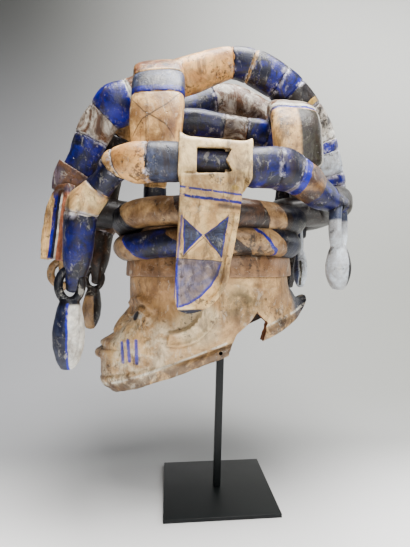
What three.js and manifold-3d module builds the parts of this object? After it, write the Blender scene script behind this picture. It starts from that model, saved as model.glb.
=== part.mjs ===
// A carved and painted gelede mask, with its woven crown of bands, on a plate-and-rod display stand.
// Millimetres, +Z up. The origin is the centre of the plate's underside. The face looks along -Y.
import * as THREE from "three";
import { mergeVertices } from "three/addons/utils/BufferGeometryUtils.js";
import Module from "manifold-3d";

const wasm = await Module();
wasm.setup();

// Stand
const PLATE_SIDE = 150;
const PLATE_THICKNESS = 5;
const ROD_SIDE = 10;
const ROD_LEAN = 0.028; // how far the rod leans back for each millimetre of height
const FIT_GAP = 0.3;
const SOCKET_DEPTH = 14;
const SOCKET_CLEARANCE = 0.8;

// Head
const HEAD_LENGTH = 222;
const HEAD_HALF_WIDTH = 88;
const HEAD_BACK = 97; // the back of the head under the headband
const CHIN_HEIGHT = 147;
const RIM_SLOPE = 0.385;
const HEADBAND_BOTTOM = 305;
const HEADBAND_HEIGHT = 25;
const HEADBAND_TOP = HEADBAND_BOTTOM + HEADBAND_HEIGHT;
const HEADBAND_RELIEF = 5;
const DOME_RISE = 74; // the solid crown of the head over the headband
const CROWN_HEIGHT = HEADBAND_TOP + DOME_RISE;
const WALL = 14;
const CROWN_WALL = 24;
const FACE_WALL = 22; // extra thickness behind the face
const RIM_LIP = 2.5;
const EAR_RADIUS = 45; // of the arc that the ear's C follows
const EAR_DROP = 31; // the middle of that arc under the headband
const EAR_FORWARD = 62;
const EAR_BREADTH = 20;
const EAR_RELIEF = 6;
const PEG_HOLE = 5;

// Wrap of two rolls round the head
const ROLL_THICKNESS = 37;
const ROLL_OVERHANG = 6; // how far a roll's centre line runs outside the headband
const LOWER_ROLL_HEIGHT = HEADBAND_TOP + 17;
const UPPER_ROLL_HEIGHT = LOWER_ROLL_HEIGHT + 33;

// Bands of the woven crown
const SPAN = 400; // the crown, front to back, that the bands' stations are shares of
const WRAP_TOP = UPPER_ROLL_HEIGHT + 20; // the height that the bands' stations are measured from
const BAND = 42; // thickness of a round band
const STRAP_BREADTH = 58;
const STRAP_THICKNESS = 24;

// Rings with their drops, hung through the ends of the bands
const RING_CLEARANCE = 1.2;

// Sheaths hung on the bands by a loop
const SHEATH_THICKNESS = 12;
const SHEATH_BORDER = 6;
const SHEATH_RECESS = 2.5;
const LOOP_WALL = 4.5;
const LOOP_CLEARANCE = 1.5;
const SIDE_LOOP_FRONT = -55;
const SIDE_LOOP_BACK = 17;
const WINDOW_WIDTH = 33;
const SIDE_SHEATH_WIDTH = 65;
const SIDE_SHEATH_LENGTH = 146;
const SIDE_SHEATH_LEAN = 0.16;
const FRONT_LOOP_BOTTOM = WRAP_TOP + 11;
const FRONT_LOOP_TOP = FRONT_LOOP_BOTTOM + 28;
const FRONT_SHEATH_WIDTH = 44;
const FRONT_SHEATH_LENGTH = 92;
const FRONT_SHEATH_FACING = -35; // degrees from the left side towards the front
const FRONT_SHEATH_LEAN = 0.08;

const WOOD = { tan: 0xb98d5c, brown: 0x7a5a3c, indigo: 0x39415c, white: 0xb9b5a8 };

const material = (color, roughness, metalness) =>
  new THREE.MeshStandardMaterial({ color, roughness, metalness });

// Solids

function solidOf(geometry) {
  const bare = geometry.clone();
  bare.deleteAttribute("normal");
  bare.deleteAttribute("uv");
  const merged = mergeVertices(bare, 1e-4);
  return new wasm.Manifold(
    new wasm.Mesh({
      numProp: 3,
      vertProperties: new Float32Array(merged.attributes.position.array),
      triVerts: new Uint32Array(merged.index.array),
    }),
  );
}

function geometryOf(solid) {
  const mesh = solid.getMesh();
  const position = new Float32Array(mesh.numVert * 3);
  for (let i = 0; i < mesh.numVert; i++) {
    const start = i * mesh.numProp;
    position.set(mesh.vertProperties.subarray(start, start + 3), i * 3);
  }
  const geometry = new THREE.BufferGeometry();
  geometry.setAttribute("position", new THREE.BufferAttribute(position, 3));
  geometry.setIndex(new THREE.BufferAttribute(mesh.triVerts, 1));
  geometry.computeVertexNormals();
  return geometry;
}

const joined = (solids) => solids.reduce((all, solid) => all.add(solid));

// A closed skin over rings of points that all have the same count, its two ends fanned to their middles.
function skin(rings) {
  const count = rings[0].length;
  const position = [];
  const index = [];
  const middle = (ring) =>
    ring.reduce((sum, p) => sum.add(p), new THREE.Vector3()).divideScalar(count);
  for (const p of rings.flat()) position.push(p.x, p.y, p.z);
  for (let r = 0; r + 1 < rings.length; r++)
    for (let i = 0; i < count; i++) {
      const a = r * count + i;
      const b = r * count + ((i + 1) % count);
      index.push(a, b, a + count, b, b + count, a + count);
    }
  for (const [ring, start, first] of [
    [rings[0], 0, true],
    [rings.at(-1), (rings.length - 1) * count, false],
  ]) {
    const centre = position.length / 3;
    const p = middle(ring);
    position.push(p.x, p.y, p.z);
    for (let i = 0; i < count; i++) {
      const a = start + i;
      const b = start + ((i + 1) % count);
      index.push(...(first ? [centre, b, a] : [centre, a, b]));
    }
  }
  const geometry = new THREE.BufferGeometry();
  geometry.setAttribute("position", new THREE.Float32BufferAttribute(position, 3));
  geometry.setIndex(index);
  const solid = solidOf(geometry);
  return solid.volume() < 0 ? solidOf(turned(geometry)) : solid;
}

function turned(geometry) {
  const index = geometry.index.array;
  for (let i = 0; i < index.length; i += 3)
    [index[i + 1], index[i + 2]] = [index[i + 2], index[i + 1]];
  return geometry;
}

const box = (size, centre) =>
  solidOf(new THREE.BoxGeometry(...size).translate(...centre));

// Bands

// A smooth curve through its stations, with a smooth half breadth and half depth. Each station is
// [side, along, up, breadth, depth], the first three as shares of SPAN and the last two as shares of thickness.
class Band {
  constructor(stations, thickness = BAND, breadth = thickness, heart = 0) {
    this.curve = new THREE.CatmullRomCurve3(
      stations.map(
        ([side, along, up]) =>
          new THREE.Vector3(side * SPAN, along * SPAN, WRAP_TOP + up * SPAN),
      ),
      false,
      "centripetal",
    );
    this.stations = stations;
    this.heart = new THREE.Vector3(0, heart * SPAN, WRAP_TOP);
    this.half = new THREE.Vector2(breadth / 2, thickness / 2);
  }

  // The size at t, which runs from 0 to 1 over the stations.
  sizeAt(t) {
    const place = t * (this.stations.length - 1);
    const i = Math.min(Math.floor(place), this.stations.length - 2);
    const ease = THREE.MathUtils.smoothstep(place - i, 0, 1);
    const share = (column) =>
      THREE.MathUtils.lerp(
        this.stations[i][column],
        this.stations[i + 1][column],
        ease,
      );
    return [this.half.x * share(3), this.half.y * share(4)];
  }

  // The centre and the directions of the section at t: across the band, and out from the band's heart.
  frameAt(t) {
    const centre = this.curve.getPoint(t);
    const ahead = this.curve.getTangent(t);
    const out = centre.clone().sub(this.heart);
    out.addScaledVector(ahead, -out.dot(ahead)).normalize();
    return { centre, ahead, out, across: ahead.clone().cross(out) };
  }

  // The first t at which the centre line crosses a value of x, y or z.
  where(axis, value) {
    const steps = 400;
    const at = (i) => this.curve.getPoint(i / steps)[axis] - value;
    for (let i = 1; i <= steps; i++) {
      const a = at(i - 1);
      const b = at(i);
      if (a * b <= 0) return (i - 1 + a / (a - b)) / steps;
    }
    throw new Error(`the band never reaches ${axis} ${value}`);
  }

  ring(t, sides, grow = 0, squareness = 2.4, scale = 1) {
    const { centre, out, across } = this.frameAt(t);
    const [breadth, depth] = this.sizeAt(t);
    return Array.from({ length: sides }, (_, i) => {
      const angle = ((i + 0.5) / sides) * 2 * Math.PI;
      const bend = (v) => Math.sign(v) * Math.abs(v) ** (2 / squareness);
      return centre
        .clone()
        .addScaledVector(across, (breadth + grow) * scale * bend(Math.cos(angle)))
        .addScaledVector(out, (depth + grow) * scale * bend(Math.sin(angle)));
    });
  }

  // The solid from t0 to t1, with rounded ends where the whole band is asked for.
  solid({ steps = 22, sides = 8, grow = 0, t0 = 0, t1 = 1, squareness = 2.4 } = {}) {
    const rings = Array.from({ length: steps + 1 }, (_, i) =>
      this.ring(t0 + ((t1 - t0) * i) / steps, sides, grow, squareness),
    );
    for (const [t, sign, add] of [
      [t0, -1, "unshift"],
      [t1, 1, "push"],
    ])
      if (grow === 0) {
        const { ahead } = this.frameAt(t);
        const [breadth, depth] = this.sizeAt(t);
        const reach = (sign * (breadth + depth)) / 4;
        rings[add](
          this.ring(t, sides, grow, squareness, 0.62).map((p) =>
            p.addScaledVector(ahead, reach),
          ),
        );
      }
    return skin(rings);
  }
}

// Shares of the span for stations written in thousandths.
const stations = (rows) =>
  rows.map(([side, along, up, breadth, depth = breadth]) => [
    side / 1000,
    along / 1000,
    up / 1000,
    breadth,
    depth,
  ]);

const mirrored = (rows) => rows.map(([side, ...rest]) => [-side, ...rest]);

// The near side band: from its front drop, along the side and to its back end.
const SIDE_LEFT = new Band(
  stations([
    [270, -432, -268, 0.42],
    [275, -420, -160, 0.72],
    [280, -404, -42, 0.86],
    [284, -376, -8, 0.76],
    [294, -340, 32, 0.6],
    [315, -302, 70, 0.8],
    [335, -245, 71, 1],
    [346, -145, 71, 0.95],
    [348, -115, 70, 0.67, 0.9],
    [348, 20, 62, 0.67, 0.9],
    [346, 60, 60, 0.98],
    [332, 140, 62, 1.05],
    [307, 212, 38, 0.92],
    [282, 262, 8, 0.78],
    [260, 322, -14, 0.6],
    [248, 352, -24, 0.48],
  ]),
);

// The far side band sits lower, and its back end hangs as its front end does.
const SIDE_RIGHT = new Band(
  stations([
    [-270, -462, -268, 0.42],
    [-275, -450, -160, 0.72],
    [-280, -434, -50, 0.86],
    [-295, -362, 20, 0.7],
    [-330, -245, 25, 1],
    [-345, -145, 27, 0.95],
    [-347, -115, 26, 0.67, 0.9],
    [-346, 20, 22, 0.67, 0.9],
    [-344, 60, 20, 0.98],
    [-335, 118, 15, 1],
    [-315, 200, 10, 0.9],
    [-285, 280, 0, 0.85],
    [-265, 343, -62, 0.8],
    [-262, 352, -175, 0.62],
    [-262, 336, -285, 0.4],
  ]),
);

// The top arches, front to back.
const ARCH_LEFT = new Band(
  stations([
    [80, -500, -228, 0.42],
    [82, -495, -130, 0.55],
    [90, -488, -20, 0.72],
    [96, -468, 75, 0.86],
    [100, -438, 128, 0.95],
    [108, -415, 190, 1],
    [116, -380, 255, 1],
    [126, -332, 298, 1.24],
    [135, -262, 336, 1],
    [140, -100, 396, 1.04],
    [140, 37, 440, 0.9],
    [140, 108, 425, 1],
    [137, 200, 375, 1.02],
    [132, 250, 330, 0.98],
    [122, 302, 270, 0.94],
    [105, 346, 175, 0.95],
    [88, 380, 75, 0.9],
    [78, 400, 5, 0.55],
  ]),
);

const ARCH_RIGHT = new Band(
  stations([
    [-95, -470, -40, 0.6],
    [-100, -440, 125, 1],
    [-115, -387, 255, 1],
    [-130, -300, 322, 1.1],
    [-140, -100, 395, 1.04],
    [-140, 37, 440, 1],
    [-140, 108, 426, 1],
    [-137, 206, 370, 1],
    [-132, 290, 285, 0.95],
    [-135, 340, 175, 0.9],
    [-138, 352, 40, 0.75],
    [-138, 347, -85, 0.42],
  ]),
);

// The lower middle band under the arches.
const MIDDLE = new Band(
  stations([
    [0, -390, 0, 0.8],
    [0, -366, 133, 0.85],
    [0, -284, 268, 0.92],
    [0, -110, 293, 0.92],
    [0, 48, 278, 0.86],
    [0, 184, 258, 0.86],
    [0, 300, 205, 0.9],
    [0, 368, 133, 0.85],
    [0, 395, 25, 0.8],
  ]),
);

// The two flat straps that cross the bands from side to side: the front one over them, the back one under.
const STRAP_FRONT = new Band(
  stations([
    [274, -206, 95, 0.92, 0.9],
    [264, -200, 236, 1.05, 1],
    [222, -196, 330, 1.05, 1],
    [150, -198, 402, 1.05, 1],
    [0, -204, 425, 1, 1],
    [-150, -210, 405, 1, 1],
    [-222, -216, 330, 0.9, 1],
    [-262, -220, 238, 0.75, 1],
    [-285, -225, 90, 0.62, 1],
    [-300, -225, 20, 0.62, 1],
  ]),
  STRAP_THICKNESS,
  STRAP_BREADTH,
  -0.16,
);

const STRAP_BACK = new Band(
  stations([
    [278, 208, 95, 0.97, 0.9],
    [262, 206, 192, 0.97, 1],
    [224, 206, 255, 0.97, 1],
    [150, 215, 290, 0.95, 1],
    [0, 260, 318, 0.95, 1],
    [-140, 305, 280, 0.95, 1],
    [-220, 338, 240, 0.9, 1],
    [-262, 355, 170, 0.85, 1],
    [-270, 330, 20, 0.8, 1],
  ]),
  STRAP_THICKNESS,
  STRAP_BREADTH,
  0.2,
);

// The yokes that tie the bands' ends to the wrap.
const YOKE_FRONT = new Band(
  stations([
    [284, -360, 12, 0.72],
    [200, -392, 0, 0.8],
    [95, -436, -10, 0.85],
    [0, -452, -12, 0.85],
    [-95, -450, -14, 0.85],
    [-200, -428, -14, 0.8],
    [-284, -392, -10, 0.75],
  ]),
);

const YOKE_BACK = new Band(
  stations([
    [268, 300, -4, 0.7],
    [160, 368, -2, 0.95],
    [0, 388, -4, 1],
    [-160, 378, -14, 0.95],
    [-275, 330, -14, 0.85],
  ]),
);

// The tongues that carry the yokes out from the wrap, before and behind.
const TONGUE_FRONT = new Band(
  stations([
    [0, -280, -38, 1, 0.9],
    [0, -425, -16, 1, 0.9],
  ]),
  BAND,
  BAND * 1.6,
);

const TONGUE_BACK = new Band(
  stations([
    [0, 230, -14, 1.2, 0.9],
    [0, 396, -6, 1.2, 1],
  ]),
  BAND,
  BAND * 2,
);

// Head

const HEAD_FRONT = HEAD_BACK - HEAD_LENGTH;

// The open rim under the head, which climbs from the chin to the nape and turns up at the back.
function rimHeight(y) {
  const rise = RIM_SLOPE * (y - HEAD_FRONT + HEAD_LENGTH * 0.11);
  const turn = Math.max(0, y - HEAD_BACK * 0.7) / HEAD_LENGTH;
  return CHIN_HEIGHT + rise + turn * turn * HEAD_LENGTH * 1.6;
}

// Tables up the front of the head: [share of the height from the rim to the headband, place forward of the
// headband as a share of the head's length]. The first is the run of the cheeks from the chin to the forehead,
// the second the middle of the face with its lips and nose.
const CHEEKS = [
  [0, 0.085],
  [0.1, 0.14],
  [0.25, 0.15],
  [0.4, 0.115],
  [0.55, 0.04],
  [0.7, -0.02],
  [0.8, -0.035],
  [1, -0.02],
];
const MIDDLE_OF_FACE = [
  [0, 0.085],
  [0.1, 0.141],
  [0.2, 0.168],
  [0.28, 0.178],
  [0.335, 0.158],
  [0.36, 0.19],
  [0.4, 0.195],
  [0.44, 0.16],
  [0.48, 0.066],
  [0.535, 0.08],
  [0.61, 0.047],
  [0.67, 0.012],
  [0.75, -0.018],
  [1, -0.02],
];
const LIPS_TOP = 0.47; // share of the height up to which the middle of the face is as wide as the lips
const LIPS_SPREAD = 0.34;
const NOSE_SPREAD = 0.17;

function along(table, at) {
  const i = Math.max(1, table.findIndex(([x]) => x >= at));
  const [x0, y0] = table[i - 1];
  const [x1, y1] = table[i];
  return THREE.MathUtils.lerp(y0, y1, THREE.MathUtils.smoothstep((at - x0) / (x1 - x0), 0, 1));
}

const bump = (x, centre, width) => Math.exp(-(((x - centre) / width) ** 2));

// A point of the head's skin: v runs up from the rim to the headband, the angle runs round from the left side.
function headPoint(v, angle, inset = 0) {
  const forward = Math.max(0, -Math.sin(angle));
  const frontReach = -HEAD_FRONT + along(CHEEKS, v) * HEAD_LENGTH;
  const flare = 0.13 * HEAD_LENGTH * (1 - v) ** 2;
  const reach = Math.sin(angle) < 0 ? frontReach : HEAD_BACK + flare;
  const jaw = 1 - 0.14 * (1 - v) ** 2 - 0.02 * bump(v, 0.75, 0.15);
  const half = HEAD_HALF_WIDTH * jaw;
  const squareness = 2.3;
  const bend = (s) => Math.sign(s) * Math.abs(s) ** (2 / squareness);
  const x = (half - inset) * bend(Math.cos(angle));
  let y = (reach - inset - (Math.sin(angle) < 0 && inset ? FACE_WALL : 0)) * bend(Math.sin(angle));
  if (!inset && forward > 0) {
    const s = x / HEAD_HALF_WIDTH;
    const spread = v < LIPS_TOP ? LIPS_SPREAD : NOSE_SPREAD;
    const middle = (along(MIDDLE_OF_FACE, v) - along(CHEEKS, v)) * bump(s, 0, spread);
    const eye = 0.028 * bump(Math.abs(s), 0.42, 0.16) * bump(v, 0.75, 0.06);
    const sockets = 0.03 * bump(Math.abs(s), 0.36, 0.2) * bump(v, 0.67, 0.09);
    y -= (middle + eye - sockets) * HEAD_LENGTH;
  }
  const lip = inset ? 0 : RIM_LIP * bump(v, 0.03, 0.05);
  const point = new THREE.Vector3(x, y, 0);
  point.multiplyScalar(1 + lip / Math.max(1, point.length()));
  point.z = THREE.MathUtils.lerp(rimHeight(point.y), HEADBAND_BOTTOM, v);
  return point;
}

// Angles round the head, closer together over the face.
const headAngles = (count) =>
  Array.from({ length: count }, (_, i) => {
    const turn = (i / count) * 2 * Math.PI;
    return turn + 0.45 * Math.cos(turn);
  });

// The outline of the headband, grown by a distance.
const bandOutline = (angles, height, grow) =>
  angles.map((angle) => {
    const p = headPoint(1, angle);
    p.multiplyScalar(1 + grow / Math.hypot(p.x, p.y));
    p.z = height;
    return p;
  });

function headSolid() {
  const angles = headAngles(34);
  const rows = [0, 0.06, 0.14, 0.22, 0.29, 0.335, 0.36, 0.405, 0.44, 0.48, 0.535, 0.61, 0.68, 0.75, 0.85, 1];
  const rings = rows.map((v) => angles.map((angle) => headPoint(v, angle)));
  rings.push(bandOutline(angles, HEADBAND_BOTTOM + 1, HEADBAND_RELIEF));
  rings.push(bandOutline(angles, HEADBAND_TOP, HEADBAND_RELIEF * 0.6));
  const dome = CROWN_HEIGHT - HEADBAND_TOP;
  for (const share of [0.35, 0.7, 0.92]) {
    const shrink = Math.sqrt(1 - share ** 2);
    rings.push(
      bandOutline(angles, HEADBAND_TOP + dome * share, 0).map((p) => {
        p.x *= shrink;
        p.y *= shrink;
        return p;
      }),
    );
  }
  return skin(rings);
}

// The inside of the helmet, open downwards.
function cavitySolid() {
  const angles = headAngles(16);
  const ceiling = CROWN_HEIGHT - CROWN_WALL;
  const rings = [0, 0.5, 1].map((v) => angles.map((angle) => headPoint(v, angle, WALL)));
  const sunk = rings[0].map((p) => p.clone().setZ(p.z - 3 * WALL));
  const top = rings.at(-1);
  const rise = ceiling - HEADBAND_BOTTOM;
  const shares = [0.45, 0.75, 0.93, 1];
  const dome = shares.map((share) => {
    const shrink = share < 1 ? Math.sqrt(1 - share ** 2) : 0.2;
    return top.map((p) => new THREE.Vector3(p.x * shrink, p.y * shrink, HEADBAND_BOTTOM + rise * share));
  });
  return skin([sunk, ...rings, ...dome]);
}

// The broad C of an ear, in low relief on the side of the head.
function earSolid(side) {
  const steps = 10;
  const sides = 8;
  const rings = Array.from({ length: steps + 1 }, (_, r) => {
    const share = r / steps;
    const angle = THREE.MathUtils.degToRad(-95 + 110 * share);
    const radial = new THREE.Vector3(0, Math.cos(angle), Math.sin(angle));
    const middle = new THREE.Vector3(
      side * (HEAD_HALF_WIDTH - 10 + 4 * share),
      -EAR_FORWARD,
      HEADBAND_BOTTOM - EAR_DROP,
    ).addScaledVector(radial, EAR_RADIUS);
    const taper = 0.55 + 0.45 * Math.sin(Math.PI * (0.12 + 0.76 * share));
    return Array.from({ length: sides }, (_, i) => {
      const around = (i / sides) * 2 * Math.PI;
      const p = middle.clone().addScaledVector(radial, (EAR_BREADTH / 2) * taper * Math.cos(around));
      p.x += side * EAR_RELIEF * taper * Math.sin(around);
      return p;
    });
  });
  return skin(rings);
}

// Rolls of the wrap

function rollSolid(height, overhang, wave) {
  const steps = 24;
  const sides = 7;
  const angles = Array.from({ length: steps }, (_, i) => (i / steps) * 2 * Math.PI);
  const centres = bandOutline(angles, height, overhang);
  const position = [];
  const index = [];
  centres.forEach((centre, r) => {
    const out = new THREE.Vector3(centre.x, centre.y, 0).normalize();
    for (let i = 0; i < sides; i++) {
      const angle = (i / sides) * 2 * Math.PI;
      const swell = 1 + 0.09 * Math.sin(3 * angles[r] + wave + angle);
      const half = (ROLL_THICKNESS / 2) * swell;
      const lift = half * Math.sin(angle) + 3 * Math.sin(2 * angles[r] + wave);
      const p = centre.clone().addScaledVector(out, 1.1 * half * Math.cos(angle));
      position.push(p.x, p.y, p.z + lift);
      const a = r * sides + i;
      const b = r * sides + ((i + 1) % sides);
      const c = ((r + 1) % steps) * sides + i;
      const d = ((r + 1) % steps) * sides + ((i + 1) % sides);
      index.push(a, c, b, b, c, d);
    }
  });
  const geometry = new THREE.BufferGeometry();
  geometry.setAttribute("position", new THREE.Float32BufferAttribute(position, 3));
  geometry.setIndex(index);
  const solid = solidOf(geometry);
  return solid.volume() < 0 ? solidOf(turned(geometry)) : solid;
}

// Rings with their drops

// A ring's plan: the band it hangs from, how far along it the wire goes through as a share of its run, how far it has
// slid along its own wire, its width and height along the middle of the wire, its wire's thickness and depth, its turn
// and swing, and the length and radius of its drop. A ring with no drop has only the stub of a broken one.
const PENDANTS = [
  {
    name: "pendant_front_left",
    band: SIDE_LEFT,
    at: 0.033,
    slide: -6,
    size: [25, 35],
    wire: [10, 12],
    turn: 0,
    swing: 0.03,
    drop: [80, 17.5],
    color: WOOD.indigo,
  },
  {
    name: "pendant_front_middle",
    band: ARCH_LEFT,
    at: 0.023,
    slide: -4,
    size: [30, 31],
    wire: [10, 10],
    turn: 0,
    swing: 0.06,
    drop: null,
    color: WOOD.tan,
  },
  {
    name: "pendant_front_right",
    band: SIDE_RIGHT,
    at: 0.035,
    slide: -5,
    size: [26, 33],
    wire: [9, 11],
    turn: 0,
    swing: 0.09,
    drop: [69, 15.5],
    color: WOOD.brown,
  },
  {
    name: "pendant_back_left",
    band: SIDE_LEFT,
    at: 0.966,
    slide: 0,
    size: [25, 52],
    wire: [11, 15],
    turn: 0.85,
    swing: 0,
    drop: [54, 15],
    color: WOOD.white,
  },
  {
    name: "pendant_back_right",
    band: ARCH_RIGHT,
    at: 0.971,
    slide: 0,
    size: [26, 44],
    wire: [9, 9],
    turn: 1.2,
    swing: 0,
    drop: [56, 11],
    color: WOOD.white,
  },
];

// The ring as a closed tube in its own plane (y and z), the middle of its wire's top at the origin.
function ringSolid({ size, wire }, grow, steps, sides) {
  const [width, height] = size;
  const path = new THREE.CatmullRomCurve3(
    Array.from({ length: 12 }, (_, i) => {
      const angle = (i / 12) * 2 * Math.PI;
      return new THREE.Vector3(
        0,
        (width / 2) * Math.cos(angle),
        -height / 2 + (height / 2) * Math.sin(angle),
      );
    }),
    true,
  );
  const thickness = wire[0] + 2 * grow;
  const depth = wire[1] + 2 * grow;
  const tube = new THREE.TubeGeometry(path, steps, thickness / 2, sides, true);
  return solidOf(tube.scale(depth / thickness, 1, 1));
}

// A drop's radius as shares of its greatest, from its neck down.
const DROP_PROFILE = [0.6, 0.78, 0.92, 1, 0.97, 0.82, 0.5];

function dropSolid({ size, wire, drop }) {
  const top = -size[1] + wire[0] / 4;
  const [length, radius] = drop ?? [wire[0], wire[0] * 0.6];
  const shares = drop ? DROP_PROFILE : [1, 0.8];
  const profile = [new THREE.Vector2(0, top - length)];
  shares.toReversed().forEach((share, i) => {
    const up = (i + 0.35) / (shares.length - 0.65);
    profile.push(new THREE.Vector2(radius * share, top - length * (1 - up)));
  });
  profile.push(new THREE.Vector2(0, top));
  return solidOf(new THREE.LatheGeometry(profile, 8).rotateX(Math.PI / 2));
}

function placed(solid, pendant) {
  const centre = pendant.band.curve.getPoint(pendant.at);
  const place = new THREE.Matrix4()
    .makeTranslation(centre.x, centre.y, centre.z)
    .multiply(new THREE.Matrix4().makeRotationZ(pendant.turn))
    .multiply(new THREE.Matrix4().makeTranslation(0, pendant.slide, 0))
    .multiply(new THREE.Matrix4().makeRotationX(-pendant.swing));
  return solid.transform(place.elements);
}

const pendantSolid = (pendant) =>
  placed(ringSolid(pendant, 0, 10, 6).add(dropSolid(pendant)), pendant);

const pendantTunnel = (pendant) => placed(ringSolid(pendant, RING_CLEARANCE, 10, 6), pendant);

// Sheaths

// A panel in its own plane: u to its right, v down from its top edge, the face towards +w.
function panelSolid(outline, thickness) {
  const shape = new THREE.Shape(outline.map(([u, v]) => new THREE.Vector2(u, -v)));
  return solidOf(new THREE.ExtrudeGeometry(shape, { depth: thickness, bevelEnabled: false }));
}

// The outline pulled in from its edges by a border.
function inner(outline, border) {
  const n = outline.length;
  const points = outline.map(([u, v]) => new THREE.Vector2(u, v));
  return points.map((p, i) => {
    const before = p.clone().sub(points[(i + n - 1) % n]).normalize();
    const after = points[(i + 1) % n].clone().sub(p).normalize();
    const normal = new THREE.Vector2(-(before.y + after.y), before.x + after.x).normalize();
    const stretch = Math.min(1.6, 1 / Math.max(0.5, normal.dot(new THREE.Vector2(-after.y, after.x))));
    return [p.x + normal.x * border * stretch, p.y + normal.y * border * stretch];
  });
}

// A curved blade outline: straight on its left, narrowing on its right to a round tip at the lower left.
function bladeOutline(width, length) {
  const straight = 0.66; // share of the length above the rounded end
  const narrowed = 0.8;
  const tip = 0.1;
  const lean = -0.1;
  const outline = [
    [0, 0],
    [width, 0],
    [width * 0.93, length * straight * 0.5],
  ];
  const steps = 6;
  for (let i = 0; i <= steps; i++) {
    const angle = (i / steps) * (Math.PI / 2);
    outline.push([
      width * (tip + (narrowed - tip) * Math.cos(angle)),
      length * (straight + (1 - straight) * Math.sin(angle)),
    ]);
  }
  outline.push([width * lean * 0.4, length * 0.975], [width * lean, length * 0.88]);
  return outline;
}

function facedPanel(outline) {
  const face = panelSolid(inner(outline, SHEATH_BORDER), SHEATH_RECESS * 2);
  return panelSolid(outline, SHEATH_THICKNESS).subtract(
    face.translate([0, 0, SHEATH_THICKNESS - SHEATH_RECESS]),
  );
}

// The room that a band takes inside a sheath, with its clearance.
const bandRoom = (band, t0, t1, steps = 5) =>
  band.solid({ steps, sides: 10, grow: LOOP_CLEARANCE, t0, t1, squareness: 2.5 });

// A sheath's loop: a block round its band, with the band's own path cut through it.
function loopSolid(band, t0, t1) {
  const grow = LOOP_CLEARANCE + LOOP_WALL;
  const block = band.solid({ steps: 2, sides: 8, grow, t0, t1, squareness: 7 });
  const beyond = (t1 - t0) * 0.3;
  return block.subtract(bandRoom(band, t0 - beyond, t1 + beyond));
}

// Stands a panel up: its top left corner at a place, facing a compass angle from +X, leaning in at its foot.
function stood(panel, corner, facing, lean) {
  const out = new THREE.Vector3(Math.cos(facing), Math.sin(facing), 0);
  const right = new THREE.Vector3(-out.y, out.x, 0);
  const up = new THREE.Vector3(0, 0, 1);
  const place = new THREE.Matrix4()
    .makeTranslation(...corner)
    .multiply(new THREE.Matrix4().makeBasis(right, up, out))
    .multiply(new THREE.Matrix4().makeRotationX(lean));
  return panel.transform(place.elements);
}

// A sheath that hangs on a side band, between two places along it.
function sideSheath(band, side) {
  const t0 = band.where("y", SIDE_LOOP_FRONT);
  const t1 = band.where("y", SIDE_LOOP_BACK);
  const middle = (t0 + t1) / 2;
  const { centre } = band.frameAt(middle);
  const [breadth, depth] = band.sizeAt(middle);
  const face = depth + LOOP_CLEARANCE + LOOP_WALL;
  const corner = [
    centre.x + side * (face - SHEATH_THICKNESS + 1),
    side > 0 ? SIDE_LOOP_FRONT : SIDE_LOOP_FRONT + SIDE_SHEATH_WIDTH,
    centre.z - breadth,
  ];
  const panel = stood(
    facedPanel(bladeOutline(SIDE_SHEATH_WIDTH, SIDE_SHEATH_LENGTH)),
    corner,
    side > 0 ? 0 : Math.PI,
    SIDE_SHEATH_LEAN,
  );
  const beyond = (t1 - t0) / 2;
  const sheath = loopSolid(band, t0, t1).add(panel.subtract(bandRoom(band, t0 - beyond, t1 + beyond)));
  if (side < 0) return sheath;
  const window = box([4 * LOOP_WALL, WINDOW_WIDTH, 2 * breadth], [
    centre.x + side * (face + LOOP_WALL),
    centre.y,
    centre.z - LOOP_WALL / 2,
  ]);
  return sheath.subtract(window);
}

// The front sheath hangs over the front end of the left arch, its foot cut off unevenly.
function frontSheath() {
  const band = ARCH_LEFT;
  const t0 = band.where("z", FRONT_LOOP_BOTTOM);
  const t1 = band.where("z", FRONT_LOOP_TOP);
  const width = FRONT_SHEATH_WIDTH;
  const length = FRONT_SHEATH_LENGTH;
  const outline = [
    [width * 0.5, 0],
    [width * 0.95, 0],
    [width * 1.04, length * 0.98],
    [width * 0.6, length],
    [width * 0.3, length * 0.965],
    [0, length * 0.98],
    [0, length * 0.6],
    [width * 0.12, length * 0.28],
  ];
  const facing = THREE.MathUtils.degToRad(FRONT_SHEATH_FACING);
  const out = new THREE.Vector2(Math.cos(facing), Math.sin(facing));
  const { centre } = band.frameAt(t0);
  const away = band.sizeAt(t0)[1] + LOOP_CLEARANCE;
  const before = width * 0.3;
  const corner = [
    centre.x + out.x * away + out.y * before,
    centre.y + out.y * away - out.x * before,
    FRONT_LOOP_BOTTOM + LOOP_WALL,
  ];
  const panel = stood(facedPanel(outline), corner, facing, -FRONT_SHEATH_LEAN);
  return loopSolid(band, t0, t1)
    .add(panel.subtract(bandRoom(band, 0, Math.min(1, t1 + 0.1), 10)))
    .subtract(bandRoom(YOKE_FRONT, 0, 0.6, 8));
}

// The mask, carved as one piece

const rodTop = CROWN_HEIGHT - CROWN_WALL + SOCKET_DEPTH - FIT_GAP;
const rodPlace = (z) => ROD_LEAN * z;

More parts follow.
